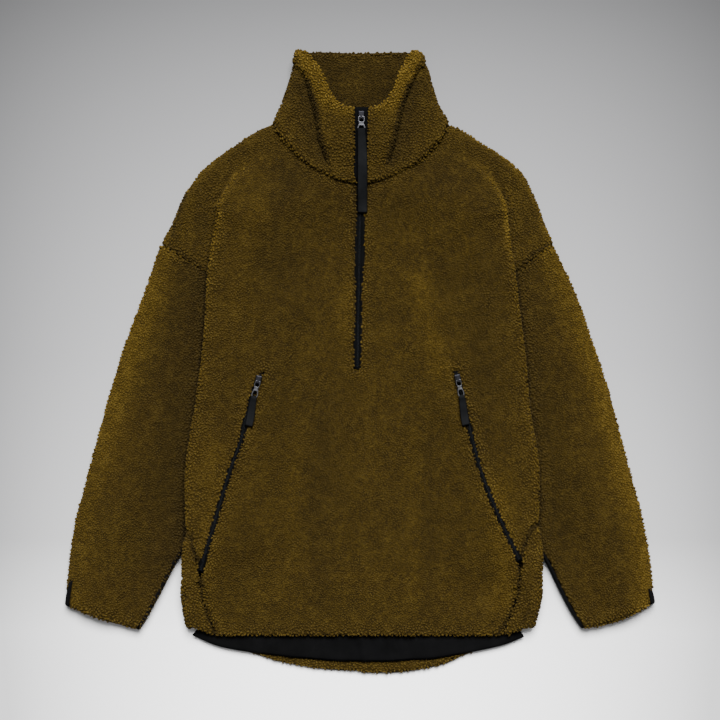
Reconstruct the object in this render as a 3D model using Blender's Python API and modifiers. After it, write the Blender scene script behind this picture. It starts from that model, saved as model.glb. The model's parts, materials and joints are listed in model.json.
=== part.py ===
"""Sherpa fleece half-zip pullover, laid face up and flat on a surface.

Metres, +Z up. +Y runs from the hem to the collar, +X is the wearer's left, z = 0 is the surface it lies on.
The tables below are in millimetres. A "start" is where the front begins to turn round its folded side edge.
"""

import math

import bmesh
import bpy
import numpy as np

MM = 0.001
SIDES = {"right": -1, "left": 1}

# Cloth
FLEECE = 7.0            # one layer of sherpa, with its pile
COLLAR_FLEECE = 11.0    # two layers of sherpa, back to back
WOVEN = 1.5             # black woven cloth of the sleeve under panel and of the hem facing
GAP = 0.6               # between two pieces at a seam
SIDE_SEAM_GAP = 1.0
NECK_GAP = 1.2
NECK_CORNER = (0.8, 4.2)    # and more than that at the shoulder, where both edges are round
EDGE_RADIUS = 9.0       # outer radius of a rounded edge, where one layer turns under another
EDGE_INSET = 9.0        # from the outline to the start of that turn
LIFT = 18.6             # how far the body is raised where a sleeve lies under it
SLEEVE_CLEAR = 14.0     # the body stays raised this far past the sleeve's edge
BACK_RAMP = 40.0        # width over which the back climbs onto a sleeve
FRONT_RAMP = 110.0      # width over which the front does
FOLD_LEVEL = 26.0       # the front is level over this width of the fold at the dropped shoulder
FRONT_MID = 14.5        # height of the middle of the front panel, where it lies lowest
BACK_MID = FLEECE / 2
UNDER = 10.0            # how far the front reaches under the shoulder edge

# Zips
ZIP_HALF = 3.2          # half the width of the front's slit
COLLAR_ZIP_HALF = 5.6
POCKET_HALF = 2.5
CHAIN_THICK = 3.0
CHAIN_SUNK = 2.0        # the chain lies this far below the pile
ZIP_BOTTOM = -14.0
ZIP_TOP = 337.0
ZIP_SLANT = (-3.4, 2.0)  # x at its bottom end and at its top end

# Numbers of cells across each part of the front
INNER_CELLS = 4
OUTER_CELLS = 2
ARC_CELLS = 4
LOWER_CELLS = 2


def table(columns, *lines):
    names = columns.split()
    return [dict(zip(names, line)) for line in lines]


# The front up to the armpit, from the hem: one row of cloth per line.
# pocket = on the pocket zip or the seam below it.
FRONT_ROWS = {
    "right": table(
        "centre_y pocket_x pocket_y edge_x edge_y returns",
        (-371.9, 195.1, -371.9, None, None, 12),
        (-351.7, 202.5, -351.7, None, None, 12),
        (-328.7, 211.3, -328.7, None, None, 12),
        (-307.1, 214.2, -307.1, None, None, 12),
        (-282.8, 215.3, -285.5, 235.6, -228.8, 12),
        (-250.4, 205.9, -251.8, 236.3, -200.5, 12),
        (-216.7, 195.1, -216.7, 236.3, -174.8, 12),
        (-181.6, 185.0, -181.6, 235.6, -146.5, 12),
        (-146.5, 174.2, -146.5, 232.2, -118.1, 12),
        (-111.4, 161.3, -111.4, 228.2, -91.1, 13),
        (-76.3, 152.6, -76.3, 222.8, -62.8, 15),
        (-46.6, 145.1, -46.6, 219.4, -35.8, 17),
        (-15.0, 132.3, -16.8, 216.0, -11.5, 19),
        (10.1, 123.5, 11.5, 212.6, 16.9, 22),
        (39.8, 118.1, 41.2, 209.9, 43.9, 26),
        (65.5, 114.1, 66.8, 208.6, 68.2, 31),
    ),
    "left": table(
        "centre_y pocket_x pocket_y edge_x edge_y returns",
        (-371.9, 193.7, -371.9, None, None, 12),
        (-351.7, 201.2, -351.7, None, None, 12),
        (-328.7, 209.2, -328.7, None, None, 12),
        (-307.1, 214.0, -304.4, None, None, 12),
        (-282.8, 215.3, -270.7, 241.0, -220.7, 12),
        (-250.4, 203.9, -246.4, 242.3, -197.8, 12),
        (-216.7, 189.0, -215.3, 242.3, -174.8, 12),
        (-181.6, 174.8, -181.6, 241.7, -146.5, 12),
        (-146.5, 162.0, -146.5, 239.0, -118.1, 12),
        (-111.4, 152.6, -111.4, 233.6, -91.1, 13),
        (-76.3, 143.8, -76.3, 228.8, -62.8, 15),
        (-46.6, 136.0, -46.6, 226.8, -35.8, 17),
        (-15.0, 129.4, -14.5, 224.8, -11.5, 19),
        (10.1, 124.9, 12.8, 222.1, 16.9, 22),
        (39.8, 119.5, 42.5, 218.7, 43.9, 26),
        (65.5, 115.4, 68.2, 215.3, 68.2, 31),
    ),
}
SEAM_ROW = 4            # the crossing seam above the lower side panel, and the bottom end of the pocket zip
POCKET_TOP_ROW = 12
ARMPIT_ROW = 15

# Above the armpit each row runs on round the folded side and over the dropped shoulder to the outline (end).
# turn = degrees that the fold turns through: 180 lies flat on itself, 0 is no fold.
# sag drops the row at mid way.
SHOULDER_ROWS = {
    "right": table(
        "centre_y sag pocket_x pocket_y start_x start_y end_x end_y turn returns bulge",
        (99.2, 1, 111.4, 101.9, 198.2, 112.7, 268.0, 157.3, 180, 34, 0),
        (123.5, 1, 110.0, 128.9, 193.5, 147.8, 255.2, 182.9, 180, 24, 0),
        (146.5, 2, 107.3, 157.3, 186.8, 182.9, 238.3, 219.4, 172, 9, 0),
        (169.4, 2, 103.3, 185.6, 182.9, 204.5, 215.3, 254.5, 122, 4, 0.5),
        (192.4, 3, 95.2, 211.3, 160.0, 231.5, 185.6, 278.8, 62, 3, 1.5),
        (215.3, 4, 84.4, 236.9, 124.9, 254.5, 147.8, 301.7, 24, 3, 3),
        (237.6, 5, 64.1, 259.9, 80.3, 273.4, 116.8, 316.6, 4, 3, 4.5),
    ),
    "left": table(
        "centre_y sag pocket_x pocket_y start_x start_y end_x end_y turn returns bulge",
        (99.2, 1, 111.4, 101.9, 201.6, 114.1, 260.6, 157.3, 180, 34, 0),
        (123.5, 1, 110.0, 128.9, 196.2, 147.8, 250.4, 182.9, 180, 24, 0),
        (146.5, 2, 107.3, 157.3, 191.8, 182.9, 236.9, 219.4, 172, 9, 0),
        (169.4, 2, 103.3, 185.6, 188.3, 204.5, 218.0, 254.5, 122, 4, 0.5),
        (192.4, 3, 96.5, 211.3, 165.4, 232.9, 188.3, 278.8, 62, 3, 1.5),
        (215.3, 4, 85.7, 236.9, 128.9, 255.2, 150.5, 301.7, 24, 3, 3),
        (237.6, 5, 65.5, 259.9, 87.1, 274.7, 119.5, 317.2, 4, 3, 4.5),
    ),
}
# Plan distance from the front to the side panel across that seam, at the seam's inner and outer end
CROSSING_GAP = ((1.2, -0.5), (0.6, -1.5))
FOLD_RADIUS = 5.5       # of the middle of the cloth, at the folded side
HIDDEN_RADIUS = 4.8     # and at the hidden turn under it

# The lower side panel, from below its crossing seam to the hem
SIDE_ROWS = {
    "right": table(
        "seam_x seam_y edge_x edge_y",
        (214.2, -307.1, 240.3, -260.0),
        (211.3, -328.7, 240.8, -292.0),
        (202.5, -351.7, 239.0, -326.0),
        (195.1, -371.9, 233.5, -361.1),
    ),
    "left": table(
        "seam_x seam_y edge_x edge_y",
        (214.0, -304.4, 246.2, -256.0),
        (209.2, -328.7, 246.4, -290.0),
        (201.2, -351.7, 242.8, -326.0),
        (193.7, -371.9, 234.2, -361.1),
    ),
}

# Each sleeve from the cuff to the armhole seam: its outer edge and its inner edge, which lies under the body
SLEEVE_ROWS = {
    "right": table(
        "outer_x outer_y inner_x inner_y crown",
        (396.2, -331.4, 299.0, -363.8, 5),
        (394.9, -311.2, 285.5, -340.9, 8),
        (392.2, -278.8, 263.9, -311.2, 9),
        (382.7, -216.7, 232.9, -273.4, 9),
        (369.2, -166.7, 199.1, -230.2, 9),
        (353.0, -106.0, 183.6, -176.2, 9),
        (335.5, -42.5, 172.1, -103.3, 8),
        (313.9, 26.3, 164.0, -33.1, 7),
        (290.9, 87.1, 158.6, 29.0, 4),
        (268.0, 155.0, 157.3, 84.0, 0),
    ),
    "left": table(
        "outer_x outer_y inner_x inner_y crown",
        (396.2, -328.7, 300.4, -362.5, 5),
        (395.6, -308.5, 285.5, -339.5, 8),
        (392.2, -276.1, 265.3, -311.2, 9),
        (382.1, -216.7, 235.6, -273.4, 9),
        (369.2, -166.7, 201.8, -230.2, 9),
        (353.0, -106.0, 187.0, -176.2, 9),
        (336.2, -42.5, 176.2, -103.3, 8),
        (313.2, 26.3, 168.1, -33.1, 7),
        (292.3, 87.1, 162.7, 29.0, 4),
        (260.6, 155.0, 160.0, 81.2, 0),
    ),
}
CROWN_AT = 0.62         # the sleeve is fuller over this part of its width, from the outer edge
SLEEVE_UNDER = 19.0     # how far the sherpa reaches under the outer edge
PIPE_GAP = 0.9
PIPE = 5.0              # width of black cloth that shows along the inner edge

TAIL_WIDER = 18.0       # than the seam at the hem
TAIL = table(
    "x y",
    (-232.9, -361.1), (-215.3, -375.3), (-195.1, -382.1), (-161.3, -390.2), (-143.8, -395.6), (-93.8, -411.1),
    (-39.8, -417.8), (14.2, -419.2), (68.2, -417.8), (108.7, -409.7), (124.9, -401.6), (149.2, -391.5),
    (189.7, -382.1), (220.7, -371.9), (234.2, -361.1),
)
FACING_EDGE = table(
    "x y",
    (-219.0, -371.2), (-195.1, -383.4), (-161.3, -391.5), (-107.3, -398.9), (-39.8, -405.7), (27.7, -407.0),
    (95.2, -403.0), (149.2, -393.5), (189.7, -383.4), (219.0, -373.3),
)
FACING_TOP = -338.0
FACING_TAPER = 0.9      # its hidden top edge is this much shorter

# The collar's outline at each side, and its top edge on the front, from the zip outwards
COLLAR_SIDE = {
    "right": table("x y", (116.8, 317.8), (105.8, 349.0), (97.9, 371.9), (91.6, 394.0), (86.5, 417.2)),
    "left": table("x y", (119.5, 318.4), (105.2, 349.0), (97.9, 371.9), (92.5, 392.0), (82.5, 417.2)),
}
COLLAR_TOP = {
    "right": table("x y", (7.4, 340.0), (25.0, 344.5), (39.8, 361.1), (50.5, 390.0), (62.0, 405.0)),
    "left": table("x y", (10.5, 340.0), (27.5, 344.5), (42.5, 361.1), (51.5, 388.0), (60.0, 403.0)),
}
COLLAR_BACK = (327.6, 418.3)    # the back of the collar at its middle: neck seam and top edge
COLLAR_RADIUS = 13.25    # outer radius of its folded side
COLLAR_RISE = (2.0, 8.0)        # how far its front stands up between the two creases: at the neck, at the top


def smooth(t):
    t = min(max(t, 0.0), 1.0)
    return t * t * (3 - 2 * t)


def mix(a, b, t):
    return a + (b - a) * t


def plan(*xy):
    return np.array(xy, float)


def column(rows, name):
    return [row[name] for row in rows]


def at(rows, x, key="x", value="y"):
    return float(np.interp(x, column(rows, key), column(rows, value)))


def sleeve_inner(side, y):
    """How far from the middle the hidden edge of the sleeve lies, at this height up the body."""
    return at(SLEEVE_ROWS[side], y, "inner_y", "inner_x")


def lift(side, x, y, ramp):
    return LIFT * smooth((x - sleeve_inner(side, y + SLEEVE_CLEAR) + ramp) / ramp)


def zip_x(y):
    return float(np.interp(y, (ZIP_BOTTOM, ZIP_TOP), ZIP_SLANT))


def arc(centre_out, centre_z, radius_out, radius_z, first, last, cells):
    """Points (outward, z) round part of an ellipse, without its first. Angles in degrees from +Z, outward."""
    angles = np.radians(np.linspace(first, last, cells + 1)[1:])
    return [(centre_out + radius_out * math.sin(a), centre_z + radius_z * math.cos(a)) for a in angles]


def place(origin, direction, outward_z):
    """Plan point and direction, with (outward, z) pairs: the points of an upright section."""
    return [(*(origin + direction * out), z) for out, z in outward_z]


# ---------------------------------------------------------------- making the solids

def material(name, colour, roughness, metallic=0.0):
    made = bpy.data.materials.new(name)
    made.use_nodes = True
    shader = made.node_tree.nodes["Principled BSDF"]
    shader.inputs["Base Color"].default_value = (*colour, 1.0)
    shader.inputs["Roughness"].default_value = roughness
    shader.inputs["Metallic"].default_value = metallic
    return made


def add_object(name, data, look, parent=None):
    made = bpy.data.objects.new(name, data)
    data.materials.append(look)
    PULLOVER.objects.link(made)
    if parent:
        made.parent = parent
    return made


def cloth(name, points, thickness, look, keep=None):
    """A sheet from rows of points on its middle surface, with a thickness. keep(row, cell) names its cells."""
    points = np.array(points, float)
    rows, columns = points.shape[:2]
    sheet = bmesh.new()
    bmesh.ops.create_grid(sheet, x_segments=columns - 1, y_segments=rows - 1, size=0.5)
    dropped = []
    for face in sheet.faces:
        centre = face.calc_center_median()
        cell = int((centre.x + 0.5) * (columns - 1))
        row = int((centre.y + 0.5) * (rows - 1))
        if keep and not keep(row, cell):
            dropped.append(face)
    for vertex in sheet.verts:
        row = round((vertex.co.y + 0.5) * (rows - 1))
        col = round((vertex.co.x + 0.5) * (columns - 1))
        vertex.co = points[row, col] * MM
    bmesh.ops.delete(sheet, geom=dropped, context="FACES")
    mesh = bpy.data.meshes.new(name)
    sheet.to_mesh(mesh)
    sheet.free()
    mesh.shade_smooth()
    made = add_object(name, mesh, look)
    wall = made.modifiers.new("thickness", "SOLIDIFY")
    wall.thickness = thickness * MM
    wall.offset = 0.0
    wall.use_even_offset = True
    wall.use_quality_normals = True
    return made


def ribbon(name, line, width, thickness, look, origin=None):
    """A flat strip along a line of (x, y, z) of its middle. width is one number or one per point."""
    line = np.array(line, float)
    widths = np.broadcast_to(width, len(line))
    along = np.gradient(line, axis=0)
    across = np.stack([along[:, 1], -along[:, 0], np.zeros(len(line))], axis=1)
    across /= np.linalg.norm(across, axis=1)[:, None]
    rows = [[p - a * w / 2, p + a * w / 2] for p, a, w in zip(line, across, widths)]
    made = cloth(name, rows, thickness, look)
    if origin is not None:
        move_origin(made, origin)
    return made


def move_origin(made, origin):
    origin = np.array(origin, float) * MM
    for vertex in made.data.vertices:
        vertex.co = np.array(vertex.co) - origin
    made.location = origin


# ---------------------------------------------------------------- front

def row_start(row):
    """Plan point where the front starts to turn round its side edge, on a row below the armpit."""
    return plan(row["edge_x"] - EDGE_INSET, row["edge_y"])


def front_height(side, x, y):
    return FRONT_MID + lift(side, x, y, FRONT_RAMP)


def side_turn(side, start, returns):
    """Round the side edge and back under it: (outward, z), from the point after start."""
    top = front_height(side, start[0], start[1])
    low = BACK_MID + lift(side, start[0], start[1], BACK_RAMP)
    radius = (top - low) / 2
    turn = arc(0, (top + low) / 2, FOLD_RADIUS, radius, 0, 180, ARC_CELLS)
    return turn + [(-returns / 2, low), (-returns, low)]


def fold_section(turn, returns):
    """The fold between the body and the dropped shoulder: (outward, z below its start), and the drop in all.

    Each bend keeps its length as it opens, so its radius grows."""
    angle = math.radians(turn)
    outer = FOLD_RADIUS * math.pi / angle
    inner = HIDDEN_RADIUS * math.pi / angle
    points = []
    for a in np.linspace(0, angle, ARC_CELLS + 1)[1:]:
        points.append((outer * math.sin(a), -outer * (1 - math.cos(a))))
    for part in (0.5, 1.0):
        out, z = points[ARC_CELLS - 1]
        points.append((out + part * returns * math.cos(angle), z - part * returns * math.sin(angle)))
    out, z = points[-1]
    for a in np.linspace(angle, 0, ARC_CELLS + 1)[1:]:
        step_out = inner * (math.sin(angle) - math.sin(a))
        step_down = inner * (math.cos(a) - math.cos(angle))
        points.append((out + step_out, z - step_down))
    return points, -points[-1][1]


def inner_part(row, edge_x, start, sag, height):
    """From the zip to the start of the fold, with the two sides of the pocket zip: (x, y, z)."""
    half = POCKET_HALF if row.get("edge_x", 0) is not None else GAP / 2
    centre_y = row["centre_y"]
    near = plan(row["pocket_x"] - half, row["pocket_y"])
    points = []
    for i in range(INNER_CELLS + 1):
        t = i / INNER_CELLS
        x = mix(edge_x, near[0], t)
        y = mix(centre_y, near[1], t) - sag * 4 * t * (1 - t)
        points.append((x, y, height(x, y, 0)))
    if start is None:
        return points
    far = plan(row["pocket_x"] + half, row["pocket_y"])
    for i in range(OUTER_CELLS + 1):
        t = i / OUTER_CELLS
        x, y = mix(far, start, t)
        points.append((x, y, height(x, y, t)))
    return points


def low_row(side, index):
    row = FRONT_ROWS[side][index]
    sign = SIDES[side]
    edge_x = ZIP_HALF + sign * zip_x(row["centre_y"])

    def height(x, y, t):
        return front_height(side, x, y)

    if row["edge_x"] is None:
        return inner_part(row, edge_x, None, 0, height)
    start = row_start(row)
    points = inner_part(row, edge_x, start, 0, height)
    return points + place(start, plan(1, 0), side_turn(side, start, row["returns"]))


def shoulder_row(side, index):
    row = SHOULDER_ROWS[side][index]
    sign = SIDES[side]
    edge_x = ZIP_HALF + sign * zip_x(row["centre_y"])
    start = plan(row["start_x"], row["start_y"])
    end = plan(row["end_x"], row["end_y"])
    direction = (end - start) / np.linalg.norm(end - start)
    fold, drop = fold_section(row["turn"], row["returns"])

    def height(x, y, t):
        climb = smooth((x - start[0] + FOLD_LEVEL + FRONT_RAMP) / FRONT_RAMP)
        return FRONT_MID + drop * climb + row["bulge"] * (1 - smooth(t))

    points = inner_part(row, edge_x, start, row["sag"], height)
    section = [(out, FRONT_MID + drop + z) for out, z in fold]
    rim = float(np.linalg.norm(end - start)) - EDGE_RADIUS
    last = section[-1][0]
    for i in range(1, LOWER_CELLS + 1):
        section.append((mix(last, rim, i / LOWER_CELLS), FRONT_MID))
    middle = (FRONT_MID + BACK_MID) / 2
    section += arc(rim, middle, FOLD_RADIUS, FOLD_RADIUS, 0, 180, ARC_CELLS)
    section.append((rim - UNDER, BACK_MID))
    return points + place(start, direction, section)


def mirrored(points, sign):
    return [(sign * x, y, z) for x, y, z in points]


POCKET_CELL = INNER_CELLS
FOLD_CELL = INNER_CELLS + 1 + OUTER_CELLS
RETURN_END = FOLD_CELL + ARC_CELLS + 2
ROW_CELLS = RETURN_END + ARC_CELLS + LOWER_CELLS + ARC_CELLS + 1
FRONT_COUNT = len(FRONT_ROWS["right"])
SHOULDER_COUNT = len(SHOULDER_ROWS["right"])


def front_row(side, index):
    points = low_row(side, index) if index < FRONT_COUNT else shoulder_row(side, index - FRONT_COUNT)
    return points + [points[-1]] * (ROW_CELLS + 1 - len(points))


def front_keeps(row, cell):
    half_cell = ROW_CELLS - 1 - cell if cell < ROW_CELLS else cell - ROW_CELLS - 1
    if cell == ROW_CELLS:
        return row < POCKET_TOP_ROW
    if row < SEAM_ROW:
        return half_cell < POCKET_CELL
    if half_cell == POCKET_CELL:
        return row >= POCKET_TOP_ROW
    if row <= ARMPIT_ROW:
        return half_cell < RETURN_END
    return True


def make_front(look):
    rows = []
    for index in range(FRONT_COUNT + SHOULDER_COUNT):
        right = mirrored(front_row("right", index), -1)
        left = front_row("left", index)
        rows.append(right[::-1] + left)
    return cloth("front", rows, FLEECE, look, front_keeps)


def make_side_panel(side, look):
    sign = SIDES[side]
    crossing = FRONT_ROWS[side][SEAM_ROW]
    first = plan(crossing["pocket_x"] + POCKET_HALF, crossing["pocket_y"])
    ends = [(first + plan(*CROSSING_GAP[0]), row_start(crossing) + plan(*CROSSING_GAP[1]))]
    ends += [(plan(row["seam_x"] + GAP / 2, row["seam_y"]), row_start(row)) for row in SIDE_ROWS[side]]
    rows = []
    for seam, start in ends:
        points = []
        for i in range(OUTER_CELLS + 1):
            x, y = mix(seam, start, i / OUTER_CELLS)
            points.append((x, y, front_height(side, x, y)))
        points += place(start, plan(1, 0), side_turn(side, start, 12))
        rows.append(mirrored(points, sign))
    if sign > 0:
        rows = rows[::-1]
    return cloth("side_panel_" + side, rows, FLEECE, look)


# ---------------------------------------------------------------- back

def back_half(side, centre_y, seam, lifted, straight=False):
    """From the middle of the back to its side seam, over the sleeve where one lies under it."""
    seam_x, seam_y = seam
    inner = sleeve_inner(side, seam_y) if lifted else sleeve_inner(side, 70.0)
    if not lifted:
        inner -= 7
    inner = min(inner, seam_x - 12)
    foot = inner - BACK_RAMP
    climb = [foot, mix(foot, inner, 0.33), mix(foot, inner, 0.67), inner]
    stops = [0, foot / 2, *climb, (inner + seam_x) / 2, seam_x]
    points = []
    for x in stops:
        y = mix(centre_y, seam_y, (x / seam_x) ** (1 if straight else 2))
        z = BACK_MID + (lift(side, x, y, BACK_RAMP) if lifted else 0)
        points.append((x, y, z))
    return points


def back_rows():
    """Each as (row of the left half, row of the right half), from the tail."""
    rows = []
    tail = {}
    for side, sign in SIDES.items():
        half = back_half(side, 0, (FRONT_ROWS[side][0]["pocket_x"] + TAIL_WIDER, 0), False)
        tail[side] = [(x, at(TAIL, sign * x), BACK_MID) for x, _, _ in half]
    rows.append(tail)
    middles = (-366.0, -345.0, -320.0, -300.0)
    for index, centre_y in zip((3, 2, 1, 0), middles):
        halves = {}
        for side in SIDES:
            row = SIDE_ROWS[side][index]
            seam = row_start(row) - plan(12 + SIDE_SEAM_GAP, 0)
            halves[side] = back_half(side, centre_y, seam, True)
        rows.append(halves)
    for index in range(SEAM_ROW, FRONT_COUNT):
        halves = {}
        for side in SIDES:
            row = FRONT_ROWS[side][index]
            seam = row_start(row) - plan(row["returns"] + SIDE_SEAM_GAP, 0)
            halves[side] = back_half(side, row["centre_y"] - 10, seam, True)
        rows.append(halves)
    centres = np.linspace(99.2, COLLAR_BACK[0] - NECK_GAP, SHOULDER_COUNT)
    for index in range(SHOULDER_COUNT):
        halves = {}
        for side in SIDES:
            row = SHOULDER_ROWS[side][index]
            start = plan(row["start_x"], row["start_y"])
            end = plan(row["end_x"], row["end_y"])
            direction = (end - start) / np.linalg.norm(end - start)
            seam = end - direction * (EDGE_RADIUS + UNDER + GAP)
            halves[side] = back_half(side, centres[index], seam, False)
        rows.append(halves)
    return rows


def make_back(look):
    grid = []
    for halves in back_rows():
        right = mirrored(halves["right"], -1)
        grid.append(right[:0:-1] + halves["left"])
    armpit = 5 + FRONT_COUNT - SEAM_ROW - 1
    cells = len(grid[0]) - 1

    def keeps(row, cell):
        outer = cell < 2 or cell >= cells - 2
        return not (row == armpit and outer)

    return cloth("back", grid, FLEECE, look, keeps)


def make_facing(look):
    rows = []
    height = FLEECE + 0.5 + WOVEN / 2
    for part in (0.0, 0.5, 1.0):
        row = []
        for x in np.linspace(FACING_EDGE[0]["x"], FACING_EDGE[-1]["x"], 15):
            edge = at(FACING_EDGE, x)
            row.append((x * mix(1.0, FACING_TAPER, part), mix(edge, FACING_TOP, part), height))
        rows.append(row)
    return cloth("hem_facing", rows, WOVEN, look)


# ---------------------------------------------------------------- sleeves

SLEEVE_TOP_CELLS = 6


def sleeve_frame(row):
    """Plan point of the outer edge, plan direction out of the sleeve, and the sleeve's width."""
    outer = plan(row["outer_x"], row["outer_y"])
    inner = plan(row["inner_x"], row["inner_y"])
    width = float(np.linalg.norm(outer - inner))
    return outer, (outer - inner) / width, width


def make_sleeve(side, look):
    sign = SIDES[side]
    rows = []
    for row in SLEEVE_ROWS[side]:
        outer, direction, width = sleeve_frame(row)
        low = FLEECE / 2
        top = 2 * EDGE_RADIUS - low
        section = [(-SLEEVE_UNDER, low), (-EDGE_RADIUS, low)]
        section += arc(-EDGE_RADIUS, EDGE_RADIUS, FOLD_RADIUS, FOLD_RADIUS, 180, 0, ARC_CELLS)
        run = width - EDGE_RADIUS - PIPE - PIPE_GAP
        for i in range(1, SLEEVE_TOP_CELLS + 1):
            t = i / SLEEVE_TOP_CELLS
            crown = row["crown"] * math.sin(math.pi * min(t / CROWN_AT, 1.0))
            section.append((-EDGE_RADIUS - run * t, top + crown))
        rows.append(mirrored(place(outer, direction, section), sign))
    if sign < 0:
        rows = rows[::-1]
    return cloth("sleeve_" + side, rows, FLEECE, look)


def make_sleeve_under(side, look):
    sign = SIDES[side]
    rows = []
    for row in SLEEVE_ROWS[side]:
        outer, direction, width = sleeve_frame(row)
        low = WOVEN / 2
        top = 2 * EDGE_RADIUS - low
        centre = -(width - PIPE)
        section = [(centre, top)]
        section += arc(centre, EDGE_RADIUS, -(PIPE - low), (top - low) / 2, 0, 180, ARC_CELLS)
        first = centre + 6
        last = -SLEEVE_UNDER - GAP
        for i in range(4):
            section.append((mix(first, last, i / 3), low))
        rows.append(mirrored(place(outer, direction, section), sign))
    if sign < 0:
        rows = rows[::-1]
    return cloth("sleeve_under_" + side, rows, WOVEN, look)


# ---------------------------------------------------------------- collar

COLLAR_ROWS = 5
COLLAR_FRONT_CELLS = 5
COLLAR_BACK_CELLS = 3


def neck_line(side):
    """The neck seam on the front, from the zip to the outline."""
    points = shoulder_row(side, SHOULDER_COUNT - 1)[: FOLD_CELL + 1]
    row = SHOULDER_ROWS[side][-1]
    return np.array([p[:2] for p in points] + [(row["end_x"], row["end_y"])])


def along(line, distances):
    steps = np.linalg.norm(np.diff(line, axis=0), axis=1)
    total = np.concatenate([[0], np.cumsum(steps)])
    return np.stack([np.interp(distances, total, line[:, i]) for i in (0, 1)], axis=1), total[-1]


def collar_height(v, t):
    rise = mix(COLLAR_RISE[0], COLLAR_RISE[1], v)
    return 2 * COLLAR_RADIUS - COLLAR_FLEECE / 2 + rise * (1 - smooth((t - 0.45) / 0.4))


def collar_half(side, v):
    line = neck_line(side) + plan(0, NECK_GAP)
    line[0, 0] += COLLAR_ZIP_HALF - ZIP_HALF
    line[-2:, 1] += NECK_CORNER
    length = along(line, [0])[1]
    neck = along(line, np.linspace(0, length - COLLAR_RADIUS, COLLAR_FRONT_CELLS + 1))[0]
    edge = np.array([(p["x"], p["y"]) for p in COLLAR_SIDE[side]])
    outline = np.array([np.interp(v, np.linspace(0, 1, len(edge)), edge[:, i]) for i in (0, 1)])
    slant = line[-1] - line[-2]
    slant /= np.linalg.norm(slant)
    direction = mix(slant, plan(1.0, 0.1), min(v * 1.6, 1.0))
    direction /= np.linalg.norm(direction)
    if v == 0:
        outline = line[-1]
    start = outline - direction * COLLAR_RADIUS
    top = np.array([(p["x"], p["y"]) for p in COLLAR_TOP[side]] + [edge[-1] - plan(1.0, 0.1) * COLLAR_RADIUS])
    front = mix(neck, top, v)
    front += np.linspace(0, 1, COLLAR_FRONT_CELLS + 1)[:, None] ** 2 * (start - front[-1])
    points = [(*p, collar_height(v, i / COLLAR_FRONT_CELLS)) for i, p in enumerate(front)]
    radius = COLLAR_RADIUS - COLLAR_FLEECE / 2
    points += place(start, direction, arc(0, COLLAR_RADIUS, radius, radius, 0, 180, ARC_CELLS + 1))
    back_y = mix(COLLAR_BACK[0], COLLAR_BACK[1], v)
    for i in range(1, COLLAR_BACK_CELLS + 1):
        t = i / COLLAR_BACK_CELLS
        points.append((mix(start[0], 0, t), mix(start[1], back_y, 1 - (1 - t) ** 2), COLLAR_FLEECE / 2))
    return points


def make_collar(look):
    rows = []
    for index in range(COLLAR_ROWS):
        v = index / (COLLAR_ROWS - 1)
        right = mirrored(collar_half("right", v), -1)
        left = collar_half("left", v)
        rows.append(right[:-1] + left[::-1])
    return cloth("collar", rows[::-1], COLLAR_FLEECE, look)


# ---------------------------------------------------------------- zips

SLIDER = {"wide": 8.6, "long": 12.0, "thick": 4.0}
PULL = {"wide": 10.4, "long": 22.0, "wire": 1.6}
BRIDGE = {"wide": 3.0, "long": 8.0, "high": 3.6, "wall": 1.2}
PULL_LEAN = {"right": 14.0, "left": 12.0}    # degrees from straight down the body, outward, that a pocket's pull hangs


def box(bm, low, high):
    made = bmesh.ops.create_cube(bm, size=1.0)["verts"]
    low = np.array(low, float)
    high = np.array(high, float)
    for vertex in made:
        vertex.co = (low + high) / 2 + np.array(vertex.co) * (high - low)


def local_frame(down):
    """Plan unit vectors of a zip: across it and down it."""
    down = plan(*down) / np.linalg.norm(down)
    return plan(-down[1], down[0]), down


def make_slider(name, origin, down, look):
    """origin is the middle of the slider's underside. Its bridge holds the pull's crossbar."""
    bm = bmesh.new()
    half = SLIDER["wide"] / 2
    box(bm, (-half, -SLIDER["long"] / 2, 0), (half, SLIDER["long"] / 2, SLIDER["thick"]))
    mesh = bpy.data.meshes.new(name)
    place_mesh(bm, mesh, origin, down)
    made = add_object(name, mesh, look)
    rounding = made.modifiers.new("rounding", "BEVEL")
    rounding.width = 1.2 * MM
    rounding.segments = 2
    bridge = bmesh.new()
    thick = SLIDER["thick"]
    long = BRIDGE["long"] / 2
    wall = BRIDGE["wall"]
    high = thick + BRIDGE["high"]
    foot = thick - 0.5
    profile = [(-long, foot), (-long, high), (long, high), (long, foot)]
    profile += [(long - wall, foot), (long - wall, high - wall), (wall - long, high - wall), (wall - long, foot)]
    corners = [bridge.verts.new((-BRIDGE["wide"] / 2, y, z)) for y, z in profile]
    face = bridge.faces.new(corners)
    pushed = bmesh.ops.extrude_face_region(bridge, geom=[face])["geom"]
    for vertex in pushed:
        if isinstance(vertex, bmesh.types.BMVert):
            vertex.co.x += BRIDGE["wide"]
    bmesh.ops.recalc_face_normals(bridge, faces=bridge.faces)
    cutter_mesh = bpy.data.meshes.new(name + "_bridge")
    place_mesh(bridge, cutter_mesh, origin, down)
    helper = bpy.data.objects.new(name + "_bridge", cutter_mesh)
    HELPERS.objects.link(helper)
    helper.display_type = "WIRE"
    helper.hide_render = True
    join = made.modifiers.new("bridge", "BOOLEAN")
    join.operation = "UNION"
    join.solver = "EXACT"
    join.object = helper
    return made


def place_mesh(bm, mesh, origin, down):
    """From the zip's own millimetres (x across, y up the zip) into the part's metres."""
    across, down = local_frame(down)
    for vertex in bm.verts:
        x, y, z = vertex.co
        xy = across * x - down * y
        vertex.co = ((origin[0] + xy[0]) * MM, (origin[1] + xy[1]) * MM, (origin[2] + z) * MM)
    bm.to_mesh(mesh)
    bm.free()


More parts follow.
